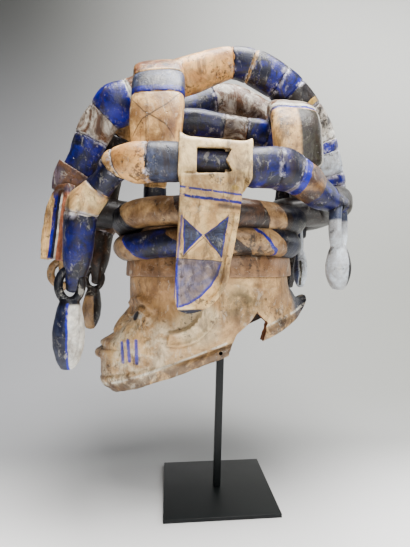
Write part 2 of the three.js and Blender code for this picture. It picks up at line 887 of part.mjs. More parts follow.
function maskSolid() {
  const bands = [
    SIDE_LEFT.solid({ steps: 24 }),
    SIDE_RIGHT.solid({ steps: 22 }),
    ARCH_LEFT.solid({ steps: 23 }),
    ARCH_RIGHT.solid({ steps: 17 }),
    MIDDLE.solid({ steps: 10, sides: 7 }),
    STRAP_FRONT.solid({ steps: 12, squareness: 3.4 }),
    STRAP_BACK.solid({ steps: 11, squareness: 3.4 }),
    YOKE_FRONT.solid({ steps: 7, sides: 7 }),
    YOKE_BACK.solid({ steps: 6, sides: 7 }),
    TONGUE_FRONT.solid({ steps: 1 }),
    TONGUE_BACK.solid({ steps: 1 }),
  ];
  const wrap = [
    rollSolid(LOWER_ROLL_HEIGHT, ROLL_OVERHANG - 6, 0.6),
    rollSolid(UPPER_ROLL_HEIGHT, ROLL_OVERHANG, 2.4),
  ];
  const whole = joined([headSolid(), earSolid(1), earSolid(-1), ...wrap, ...bands]);
  const socketSide = ROD_SIDE + 2 * SOCKET_CLEARANCE;
  const socketTop = rodTop + FIT_GAP;
  const socket = box([socketSide, socketSide, 3 * SOCKET_DEPTH], [
    0,
    rodPlace(rodTop),
    socketTop - 1.5 * SOCKET_DEPTH,
  ]);
  const pegHole = solidOf(
    new THREE.CylinderGeometry(PEG_HOLE / 2, PEG_HOLE / 2, 2 * HEAD_LENGTH, 8).rotateZ(Math.PI / 2),
  ).translate([0, -4, rimHeight(-4) + 8]);
  // The break in the rim behind the left ear
  const breakOutline = [
    [0, -30],
    [2, 3],
    [12, 28],
    [28, 42],
    [38, 56],
    [52, 40],
    [46, 18],
    [56, 4],
    [58, -30],
  ];
  const broken = stood(
    panelSolid(breakOutline.map(([u, v]) => [u, -v]), 3 * WALL),
    [HEAD_HALF_WIDTH - 2.5 * WALL, 4, rimHeight(4)],
    0,
    0,
  );
  const hollow = joined([cavitySolid(), socket, pegHole, broken, ...PENDANTS.map(pendantTunnel)]);
  return whole.subtract(hollow);
}

// Stand

function rodSolid() {
  const rod = new THREE.BoxGeometry(ROD_SIDE, ROD_SIDE, rodTop - PLATE_THICKNESS - FIT_GAP);
  const position = rod.attributes.position;
  const low = PLATE_THICKNESS + FIT_GAP;
  for (let i = 0; i < position.count; i++) {
    const z = position.getZ(i) > 0 ? rodTop : low;
    position.setXYZ(i, position.getX(i), position.getY(i) + rodPlace(z), z);
  }
  return solidOf(rod);
}

const plateSolid = () =>
  box([PLATE_SIDE, PLATE_SIDE, PLATE_THICKNESS], [0, 0, PLATE_THICKNESS / 2]);

const group = new THREE.Group();

function add(name, solid, color, roughness, metalness) {
  const mesh = new THREE.Mesh(geometryOf(solid), material(color, roughness, metalness));
  mesh.name = name;
  group.add(mesh);
}

add("mask", maskSolid(), WOOD.tan, 0.55, 0);
for (const pendant of PENDANTS) add(pendant.name, pendantSolid(pendant), pendant.color, 0.5, 0);
add("sheath_left", sideSheath(SIDE_LEFT, 1), WOOD.tan, 0.55, 0);
add("sheath_right", sideSheath(SIDE_RIGHT, -1), WOOD.tan, 0.55, 0);
add("sheath_front", frontSheath(), WOOD.tan, 0.55, 0);
add("stand_rod", rodSolid(), 0x1c1f20, 0.45, 0.6);
add("stand_plate", plateSolid(), 0x1c1f20, 0.45, 0.6);

export default group;
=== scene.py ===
# A carved and painted gelede mask with a woven crown of bands, on a plate-and-rod display stand.
# Places and sizes repeat the part's own, in millimetres, and the meshes are in metres. The face looks along
# -Y, +X is the mask's left side, and the origin is the centre of the plate's underside.
import math

import bpy
import numpy as np
from mathutils import Matrix, Vector, noise


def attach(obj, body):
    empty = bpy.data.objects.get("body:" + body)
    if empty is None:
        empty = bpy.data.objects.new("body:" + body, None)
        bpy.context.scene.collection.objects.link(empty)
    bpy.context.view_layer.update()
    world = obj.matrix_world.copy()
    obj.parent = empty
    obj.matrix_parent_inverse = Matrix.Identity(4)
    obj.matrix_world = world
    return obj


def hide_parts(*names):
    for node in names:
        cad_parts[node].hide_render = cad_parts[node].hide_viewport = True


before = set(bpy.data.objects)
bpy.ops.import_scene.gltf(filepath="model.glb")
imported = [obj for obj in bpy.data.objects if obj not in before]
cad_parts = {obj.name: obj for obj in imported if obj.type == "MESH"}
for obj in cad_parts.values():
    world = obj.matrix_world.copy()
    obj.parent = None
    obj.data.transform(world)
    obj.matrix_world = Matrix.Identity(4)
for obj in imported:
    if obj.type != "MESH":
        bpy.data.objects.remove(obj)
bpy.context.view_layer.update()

MM = 0.001

# Stand
PLATE_SIDE = 150
PLATE_THICKNESS = 5
ROD_SIDE = 10
ROD_LEAN = 0.028
FIT_GAP = 0.3
SOCKET_DEPTH = 14
SOCKET_CLEARANCE = 0.8
STEEL_BEVEL = 0.7

# Head
HEAD_LENGTH = 222
HEAD_HALF_WIDTH = 88
HEAD_BACK = 97
HEAD_FRONT = HEAD_BACK - HEAD_LENGTH
CHIN_HEIGHT = 147
RIM_SLOPE = 0.385
HEADBAND_BOTTOM = 305
HEADBAND_TOP = 330
HEADBAND_RELIEF = 5
CROWN_HEIGHT = 404
WALL = 14
CROWN_WALL = 24
FACE_WALL = 22
RIM_LIP = 3.2
EAR_RADIUS = 45
EAR_DROP = 31
EAR_FORWARD = 62
EAR_BREADTH = 20
EAR_RELIEF = 6
EAR_BORDER = 4.2
EAR_HOLLOW = 2.6
EAR_GROOVE = 1.2
PEG_HOLE = 5

# Wrap
ROLL_THICKNESS = 37
ROLL_OVERHANG = 6
LOWER_ROLL_HEIGHT = HEADBAND_TOP + 17
UPPER_ROLL_HEIGHT = LOWER_ROLL_HEIGHT + 33

# Crown of bands
SPAN = 400
WRAP_TOP = UPPER_ROLL_HEIGHT + 20
BAND = 42
STRAP_BREADTH = 58
STRAP_THICKNESS = 24

# Rings and sheaths
RING_CLEARANCE = 1.2
SHEATH_THICKNESS = 12
SHEATH_BORDER = 6
SHEATH_RECESS = 2.5
LOOP_WALL = 4.5
LOOP_CLEARANCE = 1.5
LOOP_SQUARENESS = 7
ROOM_SQUARENESS = 2.5
SCORE_DEPTH = 0.9
SIDE_LOOP_FRONT = -55
SIDE_LOOP_BACK = 17
WINDOW_WIDTH = 33
SIDE_SHEATH_WIDTH = 65
SIDE_SHEATH_LENGTH = 146
SIDE_SHEATH_LEAN = 0.16
FRONT_LOOP_BOTTOM = WRAP_TOP + 11
FRONT_LOOP_TOP = FRONT_LOOP_BOTTOM + 28
FRONT_SHEATH_WIDTH = 44
FRONT_SHEATH_LENGTH = 92
FRONT_SHEATH_FACING = math.radians(-35)
FRONT_SHEATH_LEAN = 0.08

# Fineness of the meshes: lengths in millimetres, rounds of smoothing, and angles in degrees that stay sharp
ROW_SPACING = 4.2
BAND_SIDES = 26
SHEATH_VOXEL = 0.9
PENDANT_VOXEL = 0.75
SOFTENING = 3
SHARP_WOOD = 42
SHARP_STEEL = 35
GROOVE_DEPTH = 1.1
GROOVE_WIDTH = 0.9
END_REACH = 0.275
GROOVE_ROWS = (-2.4, -1.2, -0.5, 0, 0.5, 1.2, 2.4)

# Reach of the dirt and painted shade in hollows and height of the grain, in millimetres
HOLLOW_REACH = 9
GRAIN_HEIGHT = 0.9

# Colours of the paints
PAINTS = {
    "indigo": (13, 19, 48),
    "night": (6, 8, 22),
    "cobalt": (4, 16, 158),
    "slate": (66, 76, 106),
    "tan": (232, 188, 124),
    "orange": (250, 188, 114),
    "cream": (252, 222, 162),
    "brown": (104, 70, 44),
    "dark_brown": (34, 23, 18),
    "white": (232, 230, 220),
    "silver": (206, 215, 224),
    "yellow": (226, 190, 96),
    "ochre": (150, 112, 68),
    "rust": (150, 94, 56),
    "wrap_tan": (184, 148, 102),
    "moss": (50, 48, 34),
    "salmon": (196, 122, 88),
}


def linear(name_or_rgb):
    rgb = PAINTS[name_or_rgb] if isinstance(name_or_rgb, str) else name_or_rgb
    channels = [c / 255 for c in rgb]
    return [c / 12.92 if c <= 0.04045 else ((c + 0.055) / 1.055) ** 2.4 for c in channels] + [1.0]


# Curves and bands


def catmull(points):
    """A centripetal curve through points, as a function of an array of t from 0 to 1."""
    points = np.asarray(points, float)
    count = len(points)
    ends = [2 * points[0] - points[1], 2 * points[-1] - points[-2]]
    padded = np.vstack([ends[0], points, ends[1]])

    def at(t):
        place = np.clip(np.asarray(t, float), 0, 1) * (count - 1)
        i = np.minimum(place.astype(int), count - 2)
        w = (place - i)[:, None]
        p0, p1, p2, p3 = (padded[i + k] for k in range(4))
        spans = [np.linalg.norm(b - a, axis=1) for a, b in ((p0, p1), (p1, p2), (p2, p3))]
        d0, d1, d2 = (np.maximum(span, 1e-6)[:, None] ** 0.5 for span in spans)
        slope1 = ((p1 - p0) / d0 - (p2 - p0) / (d0 + d1) + (p2 - p1) / d1) * d1
        slope2 = ((p2 - p1) / d1 - (p3 - p1) / (d1 + d2) + (p3 - p2) / d2) * d1
        square = -3 * p1 + 3 * p2 - 2 * slope1 - slope2
        cube = 2 * p1 - 2 * p2 + slope1 + slope2
        return p1 + slope1 * w + square * w**2 + cube * w**3

    return at


def circle(count):
    """Angles spread evenly round a circle."""
    return np.arange(count) / count * math.tau


def unit(vectors):
    return vectors / np.linalg.norm(vectors, axis=-1, keepdims=True)


def bend(values, squareness):
    return np.sign(values) * np.abs(values) ** (2 / squareness)


class Band:
    """A band on a smooth curve through rows of [side, along, up, breadth, depth], the first three in
    thousandths of SPAN and the last two as shares of the thickness."""

    def __init__(self, rows, thickness=BAND, breadth=None, heart=0.0, squareness=2.4, grooves=()):
        table = np.array([row if len(row) == 5 else [*row, row[3]] for row in rows], float)
        self.curve = catmull(table[:, :3] * SPAN / 1000 + (0, 0, WRAP_TOP))
        self.shares = table[:, 3:]
        self.half = np.array([(breadth or thickness) / 2, thickness / 2])
        self.heart = np.array([0, heart * SPAN, WRAP_TOP])
        self.squareness = squareness
        self.grooves = grooves

    def size(self, t):
        place = t * (len(self.shares) - 1)
        i = np.minimum(place.astype(int), len(self.shares) - 2)
        ease = (place - i)[:, None]
        ease = ease * ease * (3 - 2 * ease)
        return self.half * (self.shares[i] * (1 - ease) + self.shares[i + 1] * ease)

    def frame(self, t):
        centre = self.curve(t)
        ahead = unit(self.curve(t + 1e-4) - self.curve(t - 1e-4))
        out = centre - self.heart
        out = unit(out - ahead * np.sum(out * ahead, axis=1, keepdims=True))
        return centre, ahead, out, np.cross(ahead, out)

    def rings(self, t, sides, grow=0.0, squareness=None, scale=1.0):
        t = np.atleast_1d(np.asarray(t, float))
        centre, _, out, across = self.frame(t)
        size = self.size(t) + np.reshape(grow, (-1, 1))
        angle = (np.arange(sides) + 0.5) / sides * math.tau
        squareness = squareness or self.squareness
        c = bend(np.cos(angle), squareness)[None, :, None]
        s = bend(np.sin(angle), squareness)[None, :, None]
        breadth, depth = (size[:, k, None, None] * scale for k in (0, 1))
        return centre[:, None] + across[:, None] * c * breadth + out[:, None] * s * depth

    def where(self, axis, value):
        t = np.linspace(0, 1, 401)
        gap = self.curve(t)[:, axis] - value
        i = np.flatnonzero(gap[:-1] * gap[1:] <= 0)[0]
        return (i + gap[i] / (gap[i] - gap[i + 1])) / 400

    def mesh(self, name, material):
        """The whole band, with carved lines at its grooves, a slight swell between them and rounded ends."""
        t = np.linspace(0, 1, 801)
        run = np.concatenate([[0], np.cumsum(np.linalg.norm(np.diff(self.curve(t), axis=0), axis=1))])
        cuts = np.interp(self.grooves, t, run) if len(self.grooves) else np.array([])
        places = list(np.linspace(0, run[-1], int(run[-1] / ROW_SPACING) + 2))
        places = [p for p in places if not len(cuts) or np.min(np.abs(cuts - p)) > 3]
        places = np.array(sorted(places + [c + d for c in cuts for d in GROOVE_ROWS if 0 < c + d < run[-1]]))
        marks = np.concatenate([[0], np.sort(cuts), [run[-1]]])
        section = np.clip(np.searchsorted(marks, places, side="right") - 1, 0, len(marks) - 2)
        share = (places - marks[section]) / np.maximum(marks[section + 1] - marks[section], 1)
        swell = 0.8 * (1 - (2 * share - 1) ** 2) - 0.2
        for cut in cuts:
            swell -= GROOVE_DEPTH * np.exp(-(((places - cut) / GROOVE_WIDTH) ** 2))
        at = np.interp(places, run, t)
        rings = [self.rings(at, BAND_SIDES, grow=swell)]
        lay = [at]
        for end, sign in ((0.0, -1), (1.0, 1)):
            _, ahead, _, _ = self.frame(np.array([end]))
            reach = self.size(np.array([end])).sum() * END_REACH
            turns = np.radians([25, 45, 62, 75, 84])
            caps = []
            for a in turns[::sign]:
                beyond = ahead[:, None] * sign * reach * math.sin(a)
                caps.append(self.rings(end, BAND_SIDES, scale=math.cos(a) ** 0.8) + beyond)
            first = 0 if sign < 0 else len(rings)
            rings.insert(first, np.concatenate(caps))
            lay.insert(first, np.full(len(turns), end))
        return skin(name, np.concatenate(rings), material, np.concatenate(lay))


# Meshes


def mesh_object(name, points, faces, material, lay=None):
    mesh = bpy.data.meshes.new(name)
    mesh.from_pydata((np.asarray(points) * MM).tolist(), [], faces)
    if lay is not None:
        layer = mesh.uv_layers.new(name="lay")
        layer.data.foreach_set("uv", np.asarray(lay, np.float32).ravel())
    mesh.materials.append(material)
    piece = bpy.data.objects.new(name, mesh)
    bpy.context.scene.collection.objects.link(piece)
    return piece


def read(items, key, kind=float):
    """One property of many mesh items, as rows of three numbers."""
    values = np.empty(len(items) * 3, kind)
    items.foreach_get(key, values)
    return values.reshape(-1, 3)


def outward(piece):
    """Turns a closed mesh's faces outwards."""
    mesh = piece.data
    mesh.calc_loop_triangles()
    places = read(mesh.vertices, "co")
    corners = read(mesh.loop_triangles, "vertices", int)
    a, b, c = (places[corners[:, k]] for k in range(3))
    if np.sum(np.cross(a, b) * c) < 0:
        mesh.flip_normals()
    return piece


def skin(name, rings, material, lay=None, closed=False):
    """A closed tube over rings of points. Its map "lay" runs along the tube and then round it."""
    rings = np.asarray(rings)
    rows, count = rings.shape[:2]
    lay = np.linspace(0, 1, rows) if lay is None else lay
    points = rings.reshape(-1, 3).tolist()
    faces = []
    uvs = []
    for r in range(rows if closed else rows - 1):
        nxt = (r + 1) % rows
        u0, u1 = lay[r], (lay[nxt] if nxt else 1.0)
        for i in range(count):
            j = (i + 1) % count
            faces.append((r * count + i, r * count + j, nxt * count + j, nxt * count + i))
            v0, v1 = (i + 0.5) / count, (i + 1.5) / count
            uvs += [(u0, v0), (u0, v1), (u1, v1), (u1, v0)]
    if not closed:
        for r, flip in ((0, True), (rows - 1, False)):
            middle = len(points)
            points.append(rings[r].mean(axis=0).tolist())
            for i in range(count):
                a, b = r * count + i, r * count + (i + 1) % count
                faces.append((middle, b, a) if flip else (middle, a, b))
                uvs += [(lay[r], (i + 0.5) / count)] * 3
    return outward(mesh_object(name, points, faces, material, uvs))


def settle(piece):
    """Makes a piece's modifiers part of its mesh."""
    graph = bpy.context.evaluated_depsgraph_get()
    shape = piece.evaluated_get(graph)
    mesh = bpy.data.meshes.new_from_object(shape, preserve_all_data_layers=True, depsgraph=graph)
    piece.modifiers.clear()
    piece.data = mesh


def combine(piece, other, operation):
    """Joins or cuts with another closed mesh, which is used up. Faces keep their own material."""
    step = piece.modifiers.new("combine", "BOOLEAN")
    step.operation = operation
    step.solver = "MANIFOLD"
    step.object = other
    step.material_mode = "TRANSFER"
    settle(piece)
    bpy.data.objects.remove(other)
    return piece


def box_mesh(name, size, centre, material):
    low, high = (np.array(centre) + np.array(size) * s / 2 for s in (-1, 1))
    points = [(x, y, z) for z in (low[2], high[2]) for x, y in ((0, 0), (1, 0), (1, 1), (0, 1))]
    points = [((low[0], high[0])[x], (low[1], high[1])[y], z) for x, y, z in points]
    faces = [(0, 3, 2, 1), (4, 5, 6, 7), (0, 1, 5, 4), (1, 2, 6, 5), (2, 3, 7, 6), (3, 0, 4, 7)]
    return outward(mesh_object(name, points, faces, material))


def panel_mesh(name, outline, thickness, place, material, low=0.0):
    """A flat panel in its own plane, u to its right and v down, placed by a matrix."""
    count = len(outline)
    flat = [(u, -v, low) for u, v in outline] + [(u, -v, low + thickness) for u, v in outline]
    points = [place @ Vector(p) for p in flat]
    faces = [tuple(range(count - 1, -1, -1)), tuple(range(count, 2 * count))]
    faces += [(i, (i + 1) % count, count + (i + 1) % count, count + i) for i in range(count)]
    return outward(mesh_object(name, points, faces, material))


def vertices_of(piece):
    return read(piece.data.vertices, "co") / MM, read(piece.data.vertices, "normal")


def move_vertices(piece, points):
    piece.data.vertices.foreach_set("co", (points * MM).ravel())
    piece.data.update()


def carve_by_hand(piece, broad, fine, broad_size=30.0, fine_size=7.0):
    """Gives a surface the slight unevenness of knife and adze work."""
    points, normals = vertices_of(piece)
    apart = Vector((9, 4, 2))
    places = [Vector(p) for p in points]
    amounts = [
        broad * noise.noise(p / broad_size) + fine * noise.noise(p / fine_size + apart) for p in places
    ]
    move_vertices(piece, points + normals * np.array(amounts)[:, None])


def smooth_over(piece, sharp_degrees):
    piece.data.shade_smooth()
    piece.data.set_sharp_from_angle(angle=math.radians(sharp_degrees))


def remesh(piece, voxel):
    step = piece.modifiers.new("remesh", "REMESH")
    step.mode = "VOXEL"
    step.voxel_size = voxel * MM
    soften = piece.modifiers.new("soften", "SMOOTH")
    soften.factor = 0.5
    soften.iterations = SOFTENING
    material = piece.data.materials[0]
    settle(piece)
    if not piece.data.materials:
        piece.data.materials.append(material)
    piece.data.shade_smooth()


# Paint


class Value:
    """A node's output. A sum of it with numbers or other outputs adds the nodes that work the sum out."""

    def __init__(self, paint, socket):
        self.paint = paint
        self.socket = socket

    def __add__(self, other):
        return self.paint.math("ADD", self, other)

    def __sub__(self, other):
        return self.paint.math("SUBTRACT", self, other)

    def __rsub__(self, other):
        return self.paint.math("SUBTRACT", other, self)

    def __mul__(self, other):
        return self.paint.math("MULTIPLY", self, other)

    def __truediv__(self, other):
        return self.paint.math("DIVIDE", self, other)

    def __abs__(self):
        return self.paint.math("ABSOLUTE", self)


class Paint:
    """Builds one material's nodes. Values may be numbers, colours or the outputs of other nodes."""

    def __init__(self, name):
        self.material = bpy.data.materials.new(name)
        self.material.use_nodes = True
        self.tree = self.material.node_tree
        self.tree.nodes.clear()
        self.output = self.tree.nodes.new("ShaderNodeOutputMaterial")
        self.shader = self.tree.nodes.new("ShaderNodeBsdfPrincipled")
        self.tree.links.new(self.shader.outputs[0], self.output.inputs[0])
        self.place = Value(self, self.tree.nodes.new("ShaderNodeTexCoord").outputs["Object"])

    def give(self, socket, value):
        if isinstance(value, Value):
            self.tree.links.new(value.socket, socket)
        else:
            socket.default_value = value

    def math(self, operation, *values):
        node = self.tree.nodes.new("ShaderNodeMath")
        node.operation = operation
        for socket, value in zip(node.inputs, values):
            self.give(socket, value)
        return Value(self, node.outputs[0])

    def vector(self, operation, *values):
        node = self.tree.nodes.new("ShaderNodeVectorMath")
        node.operation = operation
        for socket, value in zip(node.inputs, values):
            self.give(socket, value)
        return Value(self, node.outputs["Value" if operation in ("DOT_PRODUCT", "DISTANCE") else "Vector"])

    def noise(self, scale, detail=4.0, rough=0.55, stretch=None, distortion=0.0, place=None):
        node = self.tree.nodes.new("ShaderNodeTexNoise")
        place = place or self.place
        if stretch:
            place = self.vector("MULTIPLY", place, stretch)
        self.give(node.inputs["Vector"], place)
        settings = {"Scale": scale, "Detail": detail, "Roughness": rough, "Distortion": distortion}
        for key, value in settings.items():
            self.give(node.inputs[key], value)
        return Value(self, node.outputs["Fac"])

    def step(self, value, edge, soft):
        """Rises from 0 to 1 as a value passes an edge."""
        node = self.tree.nodes.new("ShaderNodeMapRange")
        node.interpolation_type = "SMOOTHSTEP"
        for key, amount in (("Value", value), ("From Min", edge - soft), ("From Max", edge + soft)):
            self.give(node.inputs[key], amount)
        return Value(self, node.outputs[0])

    def ramp(self, value, stops):
        """Stops are (place, colour, amount). Gives the colour and the amount."""
        node = self.tree.nodes.new("ShaderNodeValToRGB")
        scale = node.color_ramp
        scale.interpolation = "CONSTANT"
        while len(scale.elements) < len(stops):
            scale.elements.new(0.5)
        for element, (place, _, _) in zip(scale.elements, stops):
            element.position = place
        for element, (_, color, amount) in zip(scale.elements, stops):
            element.color = linear(color)[:3] + [amount]
        self.give(node.inputs[0], value)
        return Value(self, node.outputs["Color"]), Value(self, node.outputs["Alpha"])

    def mix(self, amount, a, b, blend="MIX"):
        node = self.tree.nodes.new("ShaderNodeMix")
        node.data_type = "RGBA"
        node.blend_type = blend
        for socket, value in zip((node.inputs[0], node.inputs[6], node.inputs[7]), (amount, a, b)):
            if isinstance(value, (str, tuple)):
                value = linear(value)
            self.give(socket, value)
        return Value(self, node.outputs[2])

    def mapped(self, name):
        node = self.tree.nodes.new("ShaderNodeUVMap")
        node.uv_map = name
        apart = self.tree.nodes.new("ShaderNodeSeparateXYZ")
        self.tree.links.new(node.outputs[0], apart.inputs[0])
        return Value(self, apart.outputs[0]), Value(self, apart.outputs[1])

    def along(self, direction, origin=(0, 0, 0)):
        """Millimetres along a direction from an origin, both in the frame."""
        direction = Vector(direction)
        from_frame = self.vector("DOT_PRODUCT", self.place, tuple(direction / MM))
        return from_frame - float(direction.dot(Vector(origin)))

    def near(self, point, radius, soft=0.6):
        """1 within a radius of a point in millimetres."""
        gap = self.vector("DISTANCE", self.place, tuple(Vector(point) * MM))
        gap = gap / MM
        return 1.0 - self.step(gap, radius, soft)

    def polygon(self, u, v, corners, soft=0.35):
        """1 inside a convex polygon of (u, v) corners, in either direction round."""
        area = sum(a[0] * b[1] - b[0] * a[1] for a, b in zip(corners, [*corners[1:], corners[0]]))
        inside = None
        for (u0, v0), (u1, v1) in zip(corners, [*corners[1:], corners[0]]):
            length = math.hypot(u1 - u0, v1 - v0) * math.copysign(1, area)
            across = (-(v1 - v0) / length, (u1 - u0) / length)
            gap = u * across[0]
            gap = v * across[1] + gap
            gap = gap - (across[0] * u0 + across[1] * v0)
            inside = gap if inside is None else self.math("MINIMUM", inside, gap)
        return self.step(inside, 0.0, soft), inside

    def line(self, u, v, start, end, width, soft=0.25):
        """1 along a straight stroke between two (u, v) points."""
        along = Vector(end) - Vector(start)
        length = along.length
        along = along / length
        du = u - start[0]
        dv = v - start[1]
        run = dv * along[1] + du * along[0]
        over = run - self.math("MINIMUM", self.math("MAXIMUM", run, 0.0), length)
        side = dv * along[0] + du * -along[1]
        gap = self.math("SQRT", self.math("POWER", side, 2.0) + self.math("POWER", over, 2.0))
        return 1.0 - self.step(gap, width / 2, soft)

    def wear(self, color, loss=0.5, grime_and_shade=1.0, chalk=0.2, gloss=0.36):
        """Finishes painted wood: lost paint, smoke, rubbed places, scuffs, scratches, worn edges, dirt and
        painted shade in the hollows, grain and pits."""
        blotches = self.noise(26, 5, 0.6, distortion=0.4)
        flecks = self.noise(190, 5, 0.65)
        streaks = self.noise(60, 6, 0.7, stretch=(1, 1, 0.22), distortion=0.8)
        fine = self.noise(700, 3, 0.6)
        geometry = self.tree.nodes.new("ShaderNodeNewGeometry")
        edge = self.step(Value(self, geometry.outputs["Pointiness"]), 0.6, 0.03)
        bare = blotches * 0.5 + flecks * 0.5
        bare = self.step(bare, 0.62 - 0.08 * loss, 0.025)
        bare = bare * min(1.0, 0.5 + 0.5 * loss)
        color = self.mix(bare, color, "dark_brown")
        smoke = self.step(self.noise(42, 7, 0.72, distortion=0.6), 0.5, 0.11)
        color = self.mix(smoke * 0.75 * grime_and_shade, color, (158, 142, 126), blend="MULTIPLY")
        rubbed = self.step(self.noise(17, 5, 0.6, distortion=0.5), 0.54, 0.06)
        color = self.mix(rubbed * 0.7 * grime_and_shade, color, (150, 132, 116), blend="MULTIPLY")
        color = self.mix(self.step(streaks, 0.58, 0.05) * 0.6 * grime_and_shade, color, (44, 32, 24))
        scuffs = self.step(self.noise(95, 7, 0.75, stretch=(1, 1, 0.5), distortion=0.6), 0.6, 0.03)
        color = self.mix(scuffs * chalk, color, (220, 214, 198))
        scratch = abs(self.noise(38, 5, 0.62, distortion=0.3) - 0.5)
        scratch = 1.0 - self.step(scratch, 0.0025, 0.002)
        scratch = scratch * self.step(blotches, 0.5, 0.1)
        color = self.mix(scratch * chalk, color, (224, 218, 202))
        color = self.mix(edge * 0.6, color, (226, 204, 164))
        # Darkening in the hollows, by how shut in each point is: dirt and painted shade
        hollow = self.tree.nodes.new("ShaderNodeAmbientOcclusion")
        hollow.samples = 6
        hollow.inputs["Distance"].default_value = HOLLOW_REACH * MM
        shut = 1.0 - Value(self, hollow.outputs["AO"])
        hollow_dirt_and_shade = self.step(shut, 0.42, 0.34) * 0.92 * grime_and_shade
        color = self.mix(hollow_dirt_and_shade, color, (24, 17, 13))
        tone = self.noise(14, 4, 0.6) * 0.7 + 0.65
        shade = self.tree.nodes.new("ShaderNodeCombineColor")
        for socket in shade.inputs:
            self.give(socket, tone)
        color = self.mix(1.0, color, Value(self, shade.outputs[0]), blend="MULTIPLY")
        self.give(self.shader.inputs["Base Color"], color)
        rough = self.noise(48, 4, 0.6) * 0.3 + (gloss - 0.13)
        rough = rough + hollow_dirt_and_shade * 0.25
        self.give(self.shader.inputs["Roughness"], rough)
        self.shader.inputs["Specular IOR Level"].default_value = 0.4
        pits = self.step(self.noise(150, 2, 0.5), 0.72, 0.02)
        height = fine * 0.25 + streaks * 0.8 + flecks * 0.6 - pits * 0.7 - bare * 0.25
        bump = self.tree.nodes.new("ShaderNodeBump")
        bump.inputs["Strength"].default_value = 0.8
        bump.inputs["Distance"].default_value = GRAIN_HEIGHT * MM
        self.give(bump.inputs["Height"], height)
        self.give(self.shader.inputs["Normal"], Value(self, bump.outputs[0]))
        return self.material


def band_paint(name, sections, mottles, slant=0.0, lines=(), more=None, **finish):
    """The paint of a band in sections (t, colour) along it, with mottles (t, colour, amount)."""
    paint = Paint(name)
    u, v = paint.mapped("lay")
    waver = u + (paint.noise(70, 3, 0.5) - 0.5) * 0.012
    if slant:
        turn = paint.math("SINE", v * math.tau)
        waver = turn * slant + waver
    color, _ = paint.ramp(waver, [(t, tint, 1.0) for t, tint in sections])
    tint, amount = paint.ramp(waver, mottles)
    clouds = paint.step(paint.noise(34, 6, 0.68, distortion=1.2), 0.53, 0.09)
    color = paint.mix(clouds * amount, color, tint)
    for groove in lines:
        beside = abs(waver - groove)
        beside = 1.0 - paint.step(beside, 0.006, 0.004)
        ragged = paint.step(paint.noise(85, 5, 0.7), 0.52, 0.05)
        color = paint.mix(beside * ragged * 0.75, color, (214, 214, 232))
    if more:
        color = more(paint, color, u, v)
    return paint.wear(color, **finish)


# The bands' stations and paint

SIDE_LEFT = Band([
    [270, -432, -268, 0.42], [275, -420, -160, 0.72], [280, -404, -42, 0.86], [284, -376, -8, 0.76],
    [294, -340, 32, 0.6], [315, -302, 70, 0.8], [335, -245, 71, 1], [346, -145, 71, 0.95],
    [348, -115, 70, 0.67, 0.9], [348, 20, 62, 0.67, 0.9], [346, 60, 60, 0.98], [332, 140, 62, 1.05],
    [307, 212, 38, 0.92], [282, 262, 8, 0.78], [260, 322, -14, 0.6], [248, 352, -24, 0.48],
], grooves=(0.12, 0.225, 0.31, 0.335, 0.417, 0.72, 0.77))

SIDE_RIGHT = Band([
    [-270, -462, -268, 0.42], [-275, -450, -160, 0.72], [-280, -434, -50, 0.86], [-295, -362, 20, 0.7],
    [-330, -245, 25, 1], [-345, -145, 27, 0.95], [-347, -115, 26, 0.67, 0.9], [-346, 20, 22, 0.67, 0.9],
    [-344, 60, 20, 0.98], [-335, 118, 15, 1], [-315, 200, 10, 0.9], [-285, 280, 0, 0.85],
    [-265, 343, -62, 0.8], [-262, 352, -175, 0.62], [-262, 336, -285, 0.4],
], grooves=(0.13, 0.24, 0.34, 0.6, 0.7, 0.82))

ARCH_LEFT = Band([
    [80, -500, -228, 0.42], [82, -495, -130, 0.55], [90, -488, -20, 0.72], [96, -468, 75, 0.86],
    [100, -438, 128, 0.95], [108, -415, 190, 1], [116, -380, 255, 1], [126, -332, 298, 1.24],
    [135, -262, 336, 1], [140, -100, 396, 1.04], [140, 37, 440, 0.9], [140, 108, 425, 1],
    [137, 200, 375, 1.02], [132, 250, 330, 0.98], [122, 302, 270, 0.94], [105, 346, 175, 0.95],
    [88, 380, 75, 0.9], [78, 400, 5, 0.55],
], grooves=(0.3, 0.37, 0.455, 0.585, 0.635, 0.695, 0.735, 0.8, 0.865, 0.885, 0.925, 0.95))

ARCH_RIGHT = Band([
    [-95, -470, -40, 0.6], [-100, -440, 125, 1], [-115, -387, 255, 1], [-130, -300, 322, 1.1],
    [-140, -100, 395, 1.04], [-140, 37, 440, 1], [-140, 108, 426, 1], [-137, 206, 370, 1],
    [-132, 290, 285, 0.95], [-135, 340, 175, 0.9], [-138, 352, 40, 0.75], [-138, 347, -85, 0.42],
], grooves=(0.14, 0.27, 0.43, 0.65, 0.74, 0.83))

MIDDLE = Band([
    [0, -390, 0, 0.8], [0, -366, 133, 0.85], [0, -284, 268, 0.92], [0, -110, 293, 0.92], [0, 48, 278, 0.86],
    [0, 184, 258, 0.86], [0, 300, 205, 0.9], [0, 368, 133, 0.85], [0, 395, 25, 0.8],
], grooves=(0.2, 0.34, 0.48, 0.55, 0.62, 0.8))

STRAP_FRONT = Band([
    [274, -206, 95, 0.92, 0.9], [264, -200, 236, 1.05, 1], [222, -196, 330, 1.05, 1],
    [150, -198, 402, 1.05, 1], [0, -204, 425, 1, 1], [-150, -210, 405, 1, 1], [-222, -216, 330, 0.9, 1],
    [-262, -220, 238, 0.75, 1], [-285, -225, 90, 0.62, 1], [-300, -225, 20, 0.62, 1],
], STRAP_THICKNESS, STRAP_BREADTH, heart=-0.16, squareness=3.4, grooves=(0.155, 0.25, 0.345, 0.6, 0.75, 0.86))

